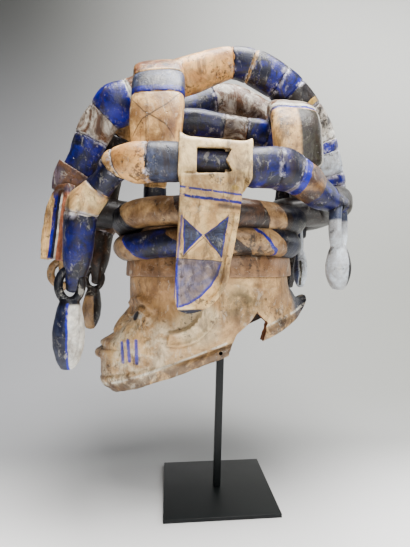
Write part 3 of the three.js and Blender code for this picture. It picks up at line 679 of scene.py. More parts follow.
STRAP_BACK = Band([
    [278, 208, 95, 0.97, 0.9], [262, 206, 192, 0.97, 1], [224, 206, 255, 0.97, 1], [150, 215, 290, 0.95, 1],
    [0, 260, 318, 0.95, 1], [-140, 305, 280, 0.95, 1], [-220, 338, 240, 0.9, 1], [-262, 355, 170, 0.85, 1],
    [-270, 330, 20, 0.8, 1],
], STRAP_THICKNESS, STRAP_BREADTH, heart=0.2, squareness=3.4, grooves=(0.24, 0.4, 0.6, 0.78))

YOKE_FRONT = Band([
    [284, -360, 12, 0.72], [200, -392, 0, 0.8], [95, -436, -10, 0.85], [0, -452, -12, 0.85],
    [-95, -450, -14, 0.85], [-200, -428, -14, 0.8], [-284, -392, -10, 0.75],
])

YOKE_BACK = Band([
    [268, 300, -4, 0.7], [160, 368, -2, 0.95], [0, 388, -4, 1], [-160, 378, -14, 0.95],
    [-275, 330, -14, 0.85],
])

TONGUE_FRONT = Band([[0, -280, -38, 1, 0.9], [0, -425, -16, 1, 0.9]], BAND, BAND * 1.6)
TONGUE_BACK = Band([[0, 230, -14, 1.2, 0.9], [0, 396, -6, 1.2, 1]], BAND, BAND * 2)


def strap_cross(paint, color, u, v):
    """The incised cross on the panel of the front strap, and the brown patch beside it."""
    across = paint.math("COSINE", v * math.tau)
    run = u * 380.0
    width = across * 29.0
    for start, end in (((-22, 17), (24, 58)), ((-24, 50), (20, 16))):
        stroke = paint.line(width, run, start, end, 1.0, 0.5)
        color = paint.mix(stroke * 0.8, color, "dark_brown")
    patch, _ = paint.polygon(width, run, ((6, 18), (20, 16), (24, 36), (15, 40)), 3.0)
    return paint.mix(patch * 0.5, color, "rust")


def strap_halves(paint, color, u, v):
    """The back strap's near leg: plain tan towards the face, mottled brown and green behind."""
    across = paint.math("COSINE", v * math.tau)
    behind = paint.step(across, 0.0, 0.05)
    near = 1.0 - paint.step(u, 0.215, 0.004)
    clouds = paint.step(paint.noise(60, 6, 0.7, distortion=1.5), 0.5, 0.1)
    mottled = paint.mix(clouds, "dark_brown", "moss")
    rim = paint.step(abs(across), 0.86, 0.1)
    mottled = paint.mix(rim, mottled, "white")
    return paint.mix(behind * near, color, mottled)


# The paint of each band: its sections as (t, colour), then its mottles as (t, colour, amount)
BAND_PAINTS = {
    "side_left": (
        [
            (0, "indigo"), (0.117, "white"), (0.122, "cream"), (0.225, "indigo"), (0.31, "tan"),
            (0.333, "night"), (0.337, "orange"), (0.415, "night"), (0.419, "slate"), (0.5, "indigo"),
            (0.719, "tan"), (0.722, "indigo"), (0.77, "cobalt"), (0.79, "ochre"), (0.85, "indigo"),
        ],
        [
            (0, "cobalt", 0.35), (0.12, "orange", 0.5), (0.225, "cobalt", 0.3), (0.31, "brown", 0.4),
            (0.337, "tan", 0.5), (0.419, "indigo", 0.75), (0.5, "cobalt", 0.4), (0.66, "cobalt", 0.45),
            (0.77, "cobalt", 0.3), (0.79, "indigo", 0.75), (0.85, "cobalt", 0.6),
        ],
    ),
    "side_right": (
        [
            (0, "dark_brown"), (0.13, "brown"), (0.24, "indigo"), (0.34, "tan"), (0.37, "indigo"),
            (0.6, "orange"), (0.7, "indigo"), (0.82, "dark_brown"),
        ],
        [
            (0, "brown", 0.6), (0.24, "night", 0.6), (0.34, "brown", 0.5), (0.37, "night", 0.5),
            (0.6, "tan", 0.5), (0.7, "slate", 0.4), (0.82, "night", 0.7),
        ],
    ),
    "arch_left": (
        [
            (0, "tan"), (0.14, "indigo"), (0.297, "white"), (0.304, "brown"), (0.37, "cobalt"),
            (0.452, "white"), (0.458, "rust"), (0.515, "orange"), (0.585, "indigo"), (0.632, "tan"),
            (0.637, "indigo"), (0.735, "dark_brown"), (0.778, "yellow"), (0.79, "dark_brown"),
            (0.8, "white"), (0.865, "cobalt"), (0.885, "silver"), (0.925, "cobalt"), (0.95, "night"),
        ],
        [
            (0, "brown", 0.5), (0.14, "cobalt", 0.5), (0.304, "white", 0.9), (0.37, "night", 0.6),
            (0.458, "tan", 0.6), (0.515, "tan", 0.6), (0.585, "cobalt", 0.5), (0.637, "cobalt", 0.9),
            (0.735, "night", 0.8), (0.8, "dark_brown", 0.95), (0.865, "night", 0.3), (0.885, "slate", 0.5),
            (0.925, "night", 0.3), (0.95, "slate", 0.3),
        ],
    ),
    "arch_right": (
        [
            (0, "indigo"), (0.14, "tan"), (0.27, "indigo"), (0.43, "brown"), (0.65, "indigo"),
            (0.74, "white"), (0.83, "indigo"), (0.95, "night"),
        ],
        [
            (0, "night", 0.5), (0.14, "brown", 0.6), (0.27, "cobalt", 0.5), (0.43, "white", 0.9),
            (0.65, "cobalt", 0.5), (0.74, "dark_brown", 0.9), (0.83, "night", 0.6),
        ],
    ),
    "middle": (
        [
            (0, "dark_brown"), (0.2, "tan"), (0.34, "indigo"), (0.48, "brown"), (0.55, "indigo"),
            (0.62, "cobalt"), (0.66, "brown"), (0.8, "indigo"),
        ],
        [
            (0, "night", 0.6), (0.2, "brown", 0.5), (0.34, "cobalt", 0.5), (0.48, "white", 0.9),
            (0.55, "cobalt", 0.8), (0.62, "night", 0.5), (0.66, "dark_brown", 0.6), (0.8, "night", 0.5),
        ],
    ),
    "strap_front": (
        [
            (0, "cobalt"), (0.03, "tan"), (0.155, "cobalt"), (0.175, "slate"), (0.25, "tan"),
            (0.255, "rust"), (0.345, "indigo"), (0.42, "tan"), (0.6, "indigo"), (0.75, "tan"),
            (0.86, "indigo"),
        ],
        [
            (0, "tan", 0.8), (0.03, "rust", 0.3), (0.155, "indigo", 0.6), (0.175, "night", 0.7),
            (0.25, "tan", 0.8), (0.345, "slate", 0.6), (0.42, "rust", 0.4), (0.6, "night", 0.6),
            (0.75, "brown", 0.5), (0.86, "night", 0.6),
        ],
    ),
    "strap_back": (
        [
            (0, "tan"), (0.215, "cobalt"), (0.24, "white"), (0.26, "brown"), (0.4, "indigo"), (0.6, "tan"),
            (0.78, "indigo"),
        ],
        [
            (0, "rust", 0.25), (0.215, "night", 0.4), (0.26, "white", 0.6), (0.4, "night", 0.6),
            (0.6, "brown", 0.5), (0.78, "night", 0.6),
        ],
    ),
}


def crown_pieces():
    """Every member of the crown as (name, band, material)."""
    members = []
    for name, band in (
        ("side_left", SIDE_LEFT), ("side_right", SIDE_RIGHT), ("arch_left", ARCH_LEFT),
        ("arch_right", ARCH_RIGHT), ("middle", MIDDLE),
    ):
        slant = 0.004 if name == "side_left" else 0.0
        material = band_paint(name, *BAND_PAINTS[name], slant, band.grooves, loss=0.5)
        members.append((name, band, material))
    straps = (("strap_front", STRAP_FRONT, strap_cross), ("strap_back", STRAP_BACK, strap_halves))
    for name, band, more in straps:
        members.append((name, band, band_paint(name, *BAND_PAINTS[name], more=more, loss=0.4)))
    dark = band_paint("yoke", [(0, "dark_brown")], [(0, "night", 0.7)], loss=0.4, chalk=0.12)
    ties = (
        ("yoke_front", YOKE_FRONT), ("yoke_back", YOKE_BACK), ("tongue_front", TONGUE_FRONT),
        ("tongue_back", TONGUE_BACK),
    )
    return members + [(name, band, dark) for name, band in ties]


# Head

# Up the front of the head: share of the height from the rim to the headband, and place forward of the
# headband as a share of the head's length. The first table is the run of the cheeks, the second the middle of
# the face.
CHEEKS = [(0, 0.085), (0.1, 0.14), (0.25, 0.15), (0.4, 0.115), (0.55, 0.04), (0.7, -0.02), (0.8, -0.035),
    (1, -0.02)]
MIDDLE_OF_FACE = [
    (0, 0.085), (0.1, 0.141), (0.2, 0.16), (0.28, 0.158), (0.315, 0.166), (0.338, 0.192), (0.37, 0.2),
    (0.395, 0.188), (0.408, 0.158), (0.425, 0.166), (0.45, 0.166), (0.472, 0.13), (0.497, 0.084),
    (0.535, 0.08), (0.61, 0.047), (0.67, 0.012), (0.75, -0.018), (1, -0.02),
]
LIPS_TOP = 0.47
LIPS_SPREAD = 0.34
NOSE_SPREAD = 0.17


def rim_height(y):
    rise = RIM_SLOPE * (y - HEAD_FRONT + HEAD_LENGTH * 0.11)
    turn = np.maximum(0, y - HEAD_BACK * 0.7) / HEAD_LENGTH
    return CHIN_HEIGHT + rise + turn * turn * HEAD_LENGTH * 1.6


def along_table(table, at):
    """A smooth curve through a table that never overshoots its rows."""
    x, y = np.array(table).T
    step = np.diff(x)
    slope = np.diff(y) / step
    lean = np.zeros(len(x))
    same = slope[:-1] * slope[1:] > 0
    lean[1:-1][same] = 2 * slope[:-1][same] * slope[1:][same] / (slope[:-1] + slope[1:])[same]
    i = np.clip(np.searchsorted(x, at) - 1, 0, len(x) - 2)
    w = (at - x[i]) / step[i]
    h = step[i]
    return (
        y[i] * (2 * w**3 - 3 * w**2 + 1)
        + lean[i] * h * (w**3 - 2 * w**2 + w)
        + y[i + 1] * (3 * w**2 - 2 * w**3)
        + lean[i + 1] * h * (w**3 - w**2)
    )


def bump(x, centre, width):
    return np.exp(-(((x - centre) / width) ** 2))


def rise_past(x, edge, width):
    """Rises smoothly from 0 to 1 as x passes an edge."""
    return 1 / (1 + np.exp(-np.clip((x - edge) / width, -30, 30)))


def head_points(v, angle, inset=0.0):
    """Points of the head's skin: v runs up from rim to headband, the angle round from the left side."""
    v, angle = np.broadcast_arrays(np.asarray(v, float)[:, None], np.asarray(angle, float)[None, :])
    front = np.sin(angle) < 0
    cheeks = along_table(CHEEKS, v)
    reach = np.where(front, -HEAD_FRONT + cheeks * HEAD_LENGTH, HEAD_BACK + 0.13 * HEAD_LENGTH * (1 - v) ** 2)
    half = HEAD_HALF_WIDTH * (1 - 0.14 * (1 - v) ** 2 - 0.02 * bump(v, 0.75, 0.15))
    x = (half - inset) * bend(np.cos(angle), 2.3)
    y = (reach - inset - np.where(front & (inset > 0), FACE_WALL, 0)) * bend(np.sin(angle), 2.3)
    if not inset:
        s = x / HEAD_HALF_WIDTH
        blend = rise_past(v, LIPS_TOP, 0.006)
        spread = LIPS_SPREAD * (1 - blend) + NOSE_SPREAD * blend
        middle = (along_table(MIDDLE_OF_FACE, v) - cheeks) * bump(s, 0, spread)
        eye = 0.028 * bump(np.abs(s), 0.42, 0.16) * bump(v, 0.75, 0.06)
        sockets = 0.03 * bump(np.abs(s), 0.36, 0.2) * bump(v, 0.67, 0.09)
        y = y - np.where(front, (middle + eye - sockets) * HEAD_LENGTH, 0)
    z = rim_height(y) * (1 - v) + HEADBAND_BOTTOM * v
    return np.stack([x, y, z], axis=-1)


def even_angles(count, face_weight):
    """Angles that spread points evenly round the head, closer together over the face."""
    fine = np.linspace(0, math.tau, 2401)
    plan = head_points([0.5], fine)[0, :, :2]
    run = np.linalg.norm(np.diff(plan, axis=0), axis=1) * (1 + face_weight * (np.sin(fine[:-1]) < -0.35))
    run = np.concatenate([[0], np.cumsum(run)])
    return np.interp(np.arange(count) / count * run[-1], run, fine)


def band_outline(angles, height, grow):
    ring = head_points([1.0], angles)[0]
    ring = ring * (1 + grow / np.hypot(ring[:, 0], ring[:, 1]))[:, None]
    ring[:, 2] = height
    return ring


# Up the headband: height and share of its relief
HEADBAND_STATIONS = [
    (HEADBAND_BOTTOM - 0.4, 0.2), (HEADBAND_BOTTOM + 0.1, 0.8), (HEADBAND_BOTTOM + 1.6, 1),
    (HEADBAND_BOTTOM + 12, 0.9), (HEADBAND_TOP - 2, 0.7), (HEADBAND_TOP, 0.4),
]


def head_mesh(material):
    angles = even_angles(300, 1.2)
    v = np.concatenate([np.linspace(0, 0.12, 20), np.linspace(0.13, 0.82, 88), np.linspace(0.84, 1, 10)])
    rings = head_points(v, angles)
    outwards = unit(rings * (1, 1, 0) + (0, 30, 0))
    above = rings[..., 2] - rings[:1, :, 2]
    forward = np.clip((-rings[..., 1] - 40) / 80, 0, 1)
    tall = 11 + 8 * forward
    lip = RIM_LIP * (1 - rise_past(above, tall, 0.9)) - 2.6 * np.clip(1 - above / 2.6, 0, 1) ** 2
    lip -= 1.6 * bump(above, tall + 2, 1.5)
    rings = rings + outwards * lip[..., None]
    extra = [band_outline(angles, height, HEADBAND_RELIEF * share) for height, share in HEADBAND_STATIONS]
    dome = CROWN_HEIGHT - HEADBAND_TOP
    for share in np.sin(np.radians([10, 20, 32, 44, 56, 67, 77, 85])):
        ring = band_outline(angles, HEADBAND_TOP + dome * share, 0)
        ring[:, :2] *= math.sqrt(1 - share**2)
        extra.append(ring)
    return skin("head", np.concatenate([rings, np.array(extra)]), material)


def cavity_mesh(material):
    angles = even_angles(96, 0.0)
    rings = head_points(np.linspace(0, 1, 14), angles, WALL)
    sunk = rings[:1] - (0, 0, 3 * WALL)
    rise = CROWN_HEIGHT - CROWN_WALL - HEADBAND_BOTTOM
    dome = []
    for share in np.sin(np.radians([12, 24, 36, 48, 60, 70, 80, 86])):
        ring = rings[-1] * (math.sqrt(1 - share**2), math.sqrt(1 - share**2), 0)
        dome.append(ring + (0, 0, HEADBAND_BOTTOM + rise * share))
    return skin("cavity", np.concatenate([sunk, rings, np.array(dome)]), material)


def ear_relief(points):
    """The broad C of an ear, raised on each side of the head, with a hollow inside its raised edge."""
    forward = points[:, 1] + EAR_FORWARD
    up = points[:, 2] - (HEADBAND_BOTTOM - EAR_DROP)
    radius = np.hypot(forward, up)
    angle = np.degrees(np.arctan2(up, forward))
    share = np.clip((angle + 95) / 110, 0, 1)
    taper = 0.72 + 0.28 * np.sin(math.pi * (0.12 + 0.76 * share))
    inside = EAR_BREADTH / 2 * taper - np.abs(radius - EAR_RADIUS)
    inside = np.minimum(inside, np.minimum(angle + 98, 18 - angle) * radius * math.pi / 180)
    on_side = (np.abs(points[:, 0]) > 45) & (radius > 5)
    raised = rise_past(inside, 0, 0.55)
    hollow = rise_past(inside, EAR_BORDER, 0.7)
    return on_side * (EAR_RELIEF * raised - EAR_HOLLOW * hollow - EAR_GROOVE * bump(inside, -1.8, 1.1))


def roll_mesh(height, overhang, wave, material):
    """One roll of the wrap, its surface swelling and sinking as it goes round."""
    steps, sides = 170, 26
    angles = circle(steps)
    centres = band_outline(angles, height, overhang)
    out = unit(centres * (1, 1, 0))
    around = circle(sides)
    swell = 1 + 0.09 * np.sin(3 * angles[:, None] + wave + around[None])
    half = ROLL_THICKNESS / 2 * swell
    rings = centres[:, None] + out[:, None] * (1.1 * half * np.cos(around))[..., None]
    rings[..., 2] += half * np.sin(around) + 3 * np.sin(2 * angles[:, None] + wave)
    return skin("roll", rings, material, angles / math.tau, closed=True)


# Carved strokes on the head and wrap: points on the surface, breadth and height, a cut where the height is
# less than nothing. Strokes on the face are carved on both sides.
FACE_STROKES = [
    ([(9, -119, 268), (28, -114, 275), (50, -103, 276), (67, -86, 263)], 4.2, 3.6),
    ([(27, -114, 267), (40, -108, 269), (56, -98, 267)], 3.6, -2.4),
    ([(26, -118, 252), (36, -113, 260.5), (48, -105, 263), (64, -92, 254)], 1.9, 3.4),
    ([(26, -118, 252), (36, -113, 248), (50, -105, 246.5), (64, -92, 253)], 1.9, 3.0),
    ([(38, -112, 255), (52, -104, 255)], 5.0, 1.8),
    ([(28, -117, 244), (44, -110, 240), (58, -102, 243)], 4.0, -1.8),
    ([(11, -138, 231), (20, -133, 238)], 4.6, 3.4), ([(22, -128, 229), (27, -124, 239)], 2.4, -2.2),
    ([(7, -139, 226), (11, -138, 226)], 2.6, -4.0),
    ([(0, -161, 208), (18, -158, 208.5), (34, -147, 209.5), (47.6, -132, 210.9)], 2.2, -2.6),
    ([(0, -160, 193), (20, -154, 196), (38, -142, 202), (49, -130, 208)], 2.0, -1.2),
]
CHEEK_MARKS = [
    [(49.8, -126.7, 220.2), (54.8, -125, 197)], [(55.4, -118.6, 223.6), (59.9, -116.4, 199.3)],
    [(62.5, -108, 224.7), (63.6, -106.8, 197.4)],
]
FACE_STROKES += [(mark, 1.4, -1.6) for mark in CHEEK_MARKS]
CHIPS = [((73, -81.8, 217.6), 2.6, -1.8), ((72.2, -80.6, 205.1), 2.2, -1.6), ((74, -70, 214), 1.2, -1.2)]
NECK_STROKE = [(86, 14, 296), (84, 30, 292), (78, 52, 290), (64, 76, 292)]
WRAP_STROKES = [
    ([(50, -124, 331), (62, -116, 338), (82, -91, 352), (94, -60, 367), (100, -42, 376)], 2.6, -2.6),
    ([(62, -121, 402), (72, -112, 392), (60, -118, 378), (46, -124, 366)], 2.4, -2.0),
    ([(104, 10, 352), (104, 20, 357), (104, 34, 354), (103, 44, 344)], 1.6, -1.2),
]


def relief(points, strokes):
    """How far each point rises under the strokes."""
    total = np.zeros(len(points))
    for line, breadth, height in strokes:
        line = np.asarray(line, float)
        gap = np.full(len(points), 1e9)
        for a, b in zip(line[:-1], line[1:]):
            run = b - a
            share = np.clip((points - a) @ run / max(run @ run, 1e-9), 0, 1)
            gap = np.minimum(gap, np.linalg.norm(points - a - share[:, None] * run, axis=1))
        total += height * np.exp(-((gap / breadth) ** 2))
    return total


def mask_piece(paints):
    mask = head_mesh(paints["head"])
    combine(mask, roll_mesh(LOWER_ROLL_HEIGHT, ROLL_OVERHANG - 6, 0.6, paints["lower_roll"]), "UNION")
    combine(mask, roll_mesh(UPPER_ROLL_HEIGHT, ROLL_OVERHANG, 2.4, paints["upper_roll"]), "UNION")
    for name, band, material in crown_pieces():
        combine(mask, band.mesh(name, material), "UNION")
    points, normals = vertices_of(mask)
    mirrored = points * (-1, 1, 1)
    chips = [([p, np.add(p, (0.1, 0, 0))], radius, depth) for p, radius, depth in CHIPS]
    rise = relief(points, FACE_STROKES) + relief(mirrored, FACE_STROKES) + relief(points, chips)
    rise += relief(points, WRAP_STROKES) + relief(points, [(NECK_STROKE, 1.4, 0.9)]) + ear_relief(points)
    move_vertices(mask, points + normals * rise[:, None])
    carve_by_hand(mask, 1.0, 0.45)
    rod_top = CROWN_HEIGHT - CROWN_WALL + SOCKET_DEPTH - FIT_GAP
    socket_side = ROD_SIDE + 2 * SOCKET_CLEARANCE
    socket_centre = (0, ROD_LEAN * rod_top, rod_top + FIT_GAP - 1.5 * SOCKET_DEPTH)
    combine(mask, cavity_mesh(paints["inside"]), "DIFFERENCE")
    socket_size = (socket_side, socket_side, 3 * SOCKET_DEPTH)
    combine(mask, box_mesh("socket", socket_size, socket_centre, paints["inside"]), "DIFFERENCE")
    turn = circle(20)
    peg_ring = np.stack([0 * turn, PEG_HOLE / 2 * np.cos(turn), PEG_HOLE / 2 * np.sin(turn)], axis=1)
    peg_ends = [peg_ring + (x, -4, rim_height(-4.0) + 8) for x in (-HEAD_LENGTH, HEAD_LENGTH)]
    combine(mask, skin("peg", peg_ends, paints["inside"]), "DIFFERENCE")
    combine(mask, break_mesh(paints["raw"]), "DIFFERENCE")
    for pendant in PENDANTS:
        combine(mask, ring_mesh(pendant, RING_CLEARANCE, 40, 16, paints["inside"]), "DIFFERENCE")
    smooth_over(mask, SHARP_WOOD)
    mask.name = "carving"
    return mask


# The break in the rim behind the left ear, as (along, up) from its front corner, with splintered edges.
BREAK = [(0, -30), (2, 3), (12, 28), (28, 42), (38, 56), (52, 40), (46, 18), (56, 4), (58, -30)]


def break_mesh(material):
    jagged = []
    for (u0, v0), (u1, v1) in zip(BREAK, BREAK[1:]):
        pieces = max(1, int(math.hypot(u1 - u0, v1 - v0) / 3))
        for k in range(pieces):
            s = k / pieces
            u, v = u0 + (u1 - u0) * s, v0 + (v1 - v0) * s
            rough = noise.noise(Vector((u / 4, v / 4, 0))) * 1.3 if v > 0 else 0
            jagged.append((u + rough, -(v + rough * 0.6)))
    jagged.append((BREAK[-1][0], -BREAK[-1][1]))
    place = stood((HEAD_HALF_WIDTH - 2.5 * WALL, 4, rim_height(4.0)), 0, 0)
    layers = []
    depth = 3 * WALL
    for k in range(15):
        w = depth * k / 14
        shift = [noise.noise(Vector((u / 5, v / 5, w / 5))) * (1.6 if v < 0 else 0) for u, v in jagged]
        layers.append([place @ Vector((u + d, -v + d, w)) for (u, v), d in zip(jagged, shift)])
    return skin("break", np.array([[tuple(p) for p in layer] for layer in layers]), material)


# Rings with their drops: "at" is the place along the band, sizes and wires are breadth and height, turns and
# swings are in radians, and a drop is its length and radius

PENDANT_KEYS = ("name", "band", "at", "slide", "size", "wire", "turn", "swing", "drop")
PENDANT_ROWS = (
    ("pendant_front_left", SIDE_LEFT, 0.033, -6, (25, 35), (10, 12), 0, 0.03, (80, 17.5)),
    ("pendant_front_middle", ARCH_LEFT, 0.023, -4, (30, 31), (10, 10), 0, 0.06, None),
    ("pendant_front_right", SIDE_RIGHT, 0.035, -5, (26, 33), (9, 11), 0, 0.09, (69, 15.5)),
    ("pendant_back_left", SIDE_LEFT, 0.966, 0, (25, 52), (11, 15), 0.85, 0, (54, 15)),
    ("pendant_back_right", ARCH_RIGHT, 0.971, 0, (26, 44), (9, 9), 1.2, 0, (56, 11)),
)
PENDANTS = [dict(zip(PENDANT_KEYS, row)) for row in PENDANT_ROWS]
DROP_PROFILE = [0.6, 0.78, 0.92, 1, 0.97, 0.82, 0.5]


def pendant_place(pendant):
    centre = pendant["band"].curve(np.array([pendant["at"]]))[0]
    return (
        Matrix.Translation(Vector(centre))
        @ Matrix.Rotation(pendant["turn"], 4, "Z")
        @ Matrix.Translation((0, pendant["slide"], 0))
        @ Matrix.Rotation(-pendant["swing"], 4, "X")
    )


def placed(rings, place):
    rotation = np.array(place.to_3x3())
    return np.asarray(rings) @ rotation.T + np.array(place.translation)


def ring_mesh(pendant, grow, steps, sides, material):
    """The ring as a closed tube, the middle of its wire's top at the pendant's place."""
    width, height = pendant["size"]
    thickness, depth = pendant["wire"]
    angle = circle(steps)
    centre = np.stack([0 * angle, width / 2 * np.cos(angle), height / 2 * (np.sin(angle) - 1)], axis=1)
    radial = unit(np.stack([0 * angle, height * np.cos(angle), width * np.sin(angle)], axis=1))
    around = circle(sides)
    rings = centre[:, None] + radial[:, None] * ((thickness / 2 + grow) * np.cos(around))[None, :, None]
    rings[..., 0] += (depth / 2 + grow * depth / thickness) * np.sin(around)[None]
    return skin(pendant["name"], placed(rings, pendant_place(pendant)), material, closed=True)


def pendant_piece(pendant, material):
    ring = ring_mesh(pendant, 0, 56, 24, material)
    width, height = pendant["size"]
    wire = pendant["wire"][0]
    top = -height + wire / 4
    length, radius = pendant["drop"] or (wire, wire * 0.6)
    shares = DROP_PROFILE if pendant["drop"] else [1, 0.8]
    heights = [0.0] + [(i + 0.35) / (len(shares) - 0.65) for i in range(len(shares))]
    radii = [0.02] + [radius * s for s in reversed(shares)]
    up = np.linspace(0, 1, 40)
    profile = along_table(list(zip(heights, radii)), np.minimum(up, heights[-1]))
    tip = up < heights[1]
    profile[tip] = radii[1] * np.sqrt(np.clip(1 - (1 - up[tip] / heights[1]) ** 2, 0, 1))
    around = circle(36)
    heights = np.broadcast_to((top - length * (1 - up))[:, None], (len(up), len(around)))
    rings = np.stack([profile[:, None] * np.cos(around), profile[:, None] * np.sin(around), heights], axis=-1)
    rings = np.concatenate([rings[:1] * (0.01, 0.01, 1), rings[1:]])
    combine(ring, skin("drop", placed(rings, pendant_place(pendant)), material), "UNION")
    remesh(ring, PENDANT_VOXEL)
    carve_by_hand(ring, 0.35, 0.15, 14, 4)
    ring.name = "carved_" + pendant["name"]
    return ring


# Sheaths


def stood(corner, facing, lean):
    """Stands a panel up: its top left corner at a place, facing an angle from +X, leaning in at its foot."""
    out = Vector((math.cos(facing), math.sin(facing), 0))
    right = Vector((-out.y, out.x, 0))
    basis = Matrix((right, Vector((0, 0, 1)), out)).transposed().to_4x4()
    return Matrix.Translation(corner) @ basis @ Matrix.Rotation(lean, 4, "X")


def blade_outline(width, length, steps=16):
    """A curved blade: straight on its left, narrowing on its right to a round tip at the lower left."""
    straight, narrowed, tip, lean = 0.66, 0.8, 0.1, -0.1
    outline = [(0, 0), (width, 0), (width * 0.93, length * straight * 0.5)]
    for i in range(steps + 1):
        angle = i / steps * math.pi / 2
        across = tip + (narrowed - tip) * math.cos(angle)
        down = straight + (1 - straight) * math.sin(angle)
        outline.append((width * across, length * down))
    return outline + [(width * lean * 0.4, length * 0.975), (width * lean, length * 0.88)]


def inner(outline, border):
    """The outline pulled in from its edges by a border."""
    points = [Vector(p) for p in outline]
    pulled = []
    for i, p in enumerate(points):
        before = (p - points[i - 1]).normalized()
        after = (points[(i + 1) % len(points)] - p).normalized()
        normal = Vector((-(before.y + after.y), before.x + after.x)).normalized()
        stretch = min(1.6, 1 / max(0.5, normal.dot(Vector((-after.y, after.x)))))
        pulled.append(tuple(p + normal * border * stretch))
    return pulled


def room_mesh(band, t0, t1, steps=30):
    """The room that a loop leaves round its band."""
    rings = band.rings(np.linspace(t0, t1, steps), 40, grow=LOOP_CLEARANCE, squareness=ROOM_SQUARENESS)
    return skin("room", rings, paints["inside"])


def loop_mesh(band, t0, t1, material):
    grow = LOOP_CLEARANCE + LOOP_WALL
    rings = band.rings(np.linspace(t0, t1, 12), 48, grow=grow, squareness=LOOP_SQUARENESS)
    block = skin("loop", rings, material)
    beyond = (t1 - t0) * 0.3
    return combine(block, room_mesh(band, t0 - beyond, t1 + beyond), "DIFFERENCE")


def clipped(outline, top):
    """The part of an outline below a height v."""
    kept = []
    for (u0, v0), (u1, v1) in zip(outline, [*outline[1:], outline[0]]):
        if v0 >= top:
            kept.append((u0, v0))
        if (v0 - top) * (v1 - top) < 0:
            s = (top - v0) / (v1 - v0)
            kept.append((u0 + (u1 - u0) * s, top))
    return kept


# Where the sunk field starts and the ends of the grooves above it, in the panel's own millimetres
SIDE_RECESS_TOP = 38
SIDE_GROOVES = [((-1, 11), (65, 19)), ((-1, 17), (65, 25.5)), ((-1, 32), (65, 34))]
SIDE_SCORE_WIDTH = 1.6


def side_corner(band, side):
    middle = (band.where(1, SIDE_LOOP_FRONT) + band.where(1, SIDE_LOOP_BACK)) / 2
    centre = band.curve(np.array([middle]))[0]
    breadth, depth = band.size(np.array([middle]))[0]
    face = depth + LOOP_CLEARANCE + LOOP_WALL
    start = SIDE_LOOP_FRONT if side > 0 else SIDE_LOOP_FRONT + SIDE_SHEATH_WIDTH
    corner = (centre[0] + side * (face - SHEATH_THICKNESS + 1), start, centre[2] - breadth)
    return corner, centre, breadth, face


def side_place(band, side):
    return stood(side_corner(band, side)[0], 0 if side > 0 else math.pi, SIDE_SHEATH_LEAN)


def notch_mesh(place, material):
    """A chip's pointed notch, cut from outside into the edge of the window."""
    ring = np.array([(0, -5, 12), (0, -5, -12), (0, 5, -12), (0, -1.5, 0), (0, 5, 12)])
    return skin("notch", [ring + np.array(place) + (x, 0, 0) for x in (-9, 12)], material)


def side_sheath(band, side, material):
    t0, t1 = band.where(1, SIDE_LOOP_FRONT), band.where(1, SIDE_LOOP_BACK)
    _, centre, breadth, face = side_corner(band, side)
    place = side_place(band, side)
    outline = blade_outline(SIDE_SHEATH_WIDTH, SIDE_SHEATH_LENGTH)
    panel = panel_mesh("panel", outline, SHEATH_THICKNESS, place, material)
    field = clipped(inner(outline, SHEATH_BORDER), SIDE_RECESS_TOP)
    cut = panel_mesh("field", field, SHEATH_RECESS * 2, place, material, low=SHEATH_THICKNESS - SHEATH_RECESS)
    combine(panel, cut, "DIFFERENCE")
    for (u0, v0), (u1, v1) in SIDE_GROOVES:
        score = [(u0, v0), (u1, v1), (u1, v1 + SIDE_SCORE_WIDTH), (u0, v0 + SIDE_SCORE_WIDTH)]
        low = SHEATH_THICKNESS - SCORE_DEPTH
        combine(panel, panel_mesh("score", score, 3, place, material, low=low), "DIFFERENCE")
    beyond = (t1 - t0) / 2
    combine(panel, room_mesh(band, t0 - beyond, t1 + beyond), "DIFFERENCE")
    sheath = combine(loop_mesh(band, t0, t1, material), panel, "UNION")
    if side > 0:
        x, y, z = centre + (side * (face + LOOP_WALL / 2), 2, 1 - LOOP_WALL / 2)
        window_size = (8 * LOOP_WALL, WINDOW_WIDTH - 4, 2 * breadth - 2)
        combine(sheath, box_mesh("window", window_size, (x, y, z), material), "DIFFERENCE")
        combine(sheath, notch_mesh((x, y + WINDOW_WIDTH / 2, z), material), "DIFFERENCE")
    remesh(sheath, SHEATH_VOXEL)
    carve_by_hand(sheath, 0.6, 0.25, 24, 6)
    return sheath


# Grooves as their ends, and the hole as its centre, radius and depth, in the panel's own millimetres
FRONT_GROOVES = [((24, 24), (14, 92)), ((33, 22), (29, 92)), ((40, 22), (37, 93))]
FRONT_SCORE_WIDTH = 1.2
FRONT_HOLE = (18.2, 26, 2.2, 6)


def front_corner():
    t0 = ARCH_LEFT.where(2, FRONT_LOOP_BOTTOM)
    out = (math.cos(FRONT_SHEATH_FACING), math.sin(FRONT_SHEATH_FACING))
    centre = ARCH_LEFT.curve(np.array([t0]))[0]
    away = ARCH_LEFT.size(np.array([t0]))[0][1] + LOOP_CLEARANCE
    before = FRONT_SHEATH_WIDTH * 0.3
    return (
        centre[0] + out[0] * away + out[1] * before,
        centre[1] + out[1] * away - out[0] * before,
        FRONT_LOOP_BOTTOM + LOOP_WALL,
    )


def front_place():
    return stood(front_corner(), FRONT_SHEATH_FACING, -FRONT_SHEATH_LEAN)


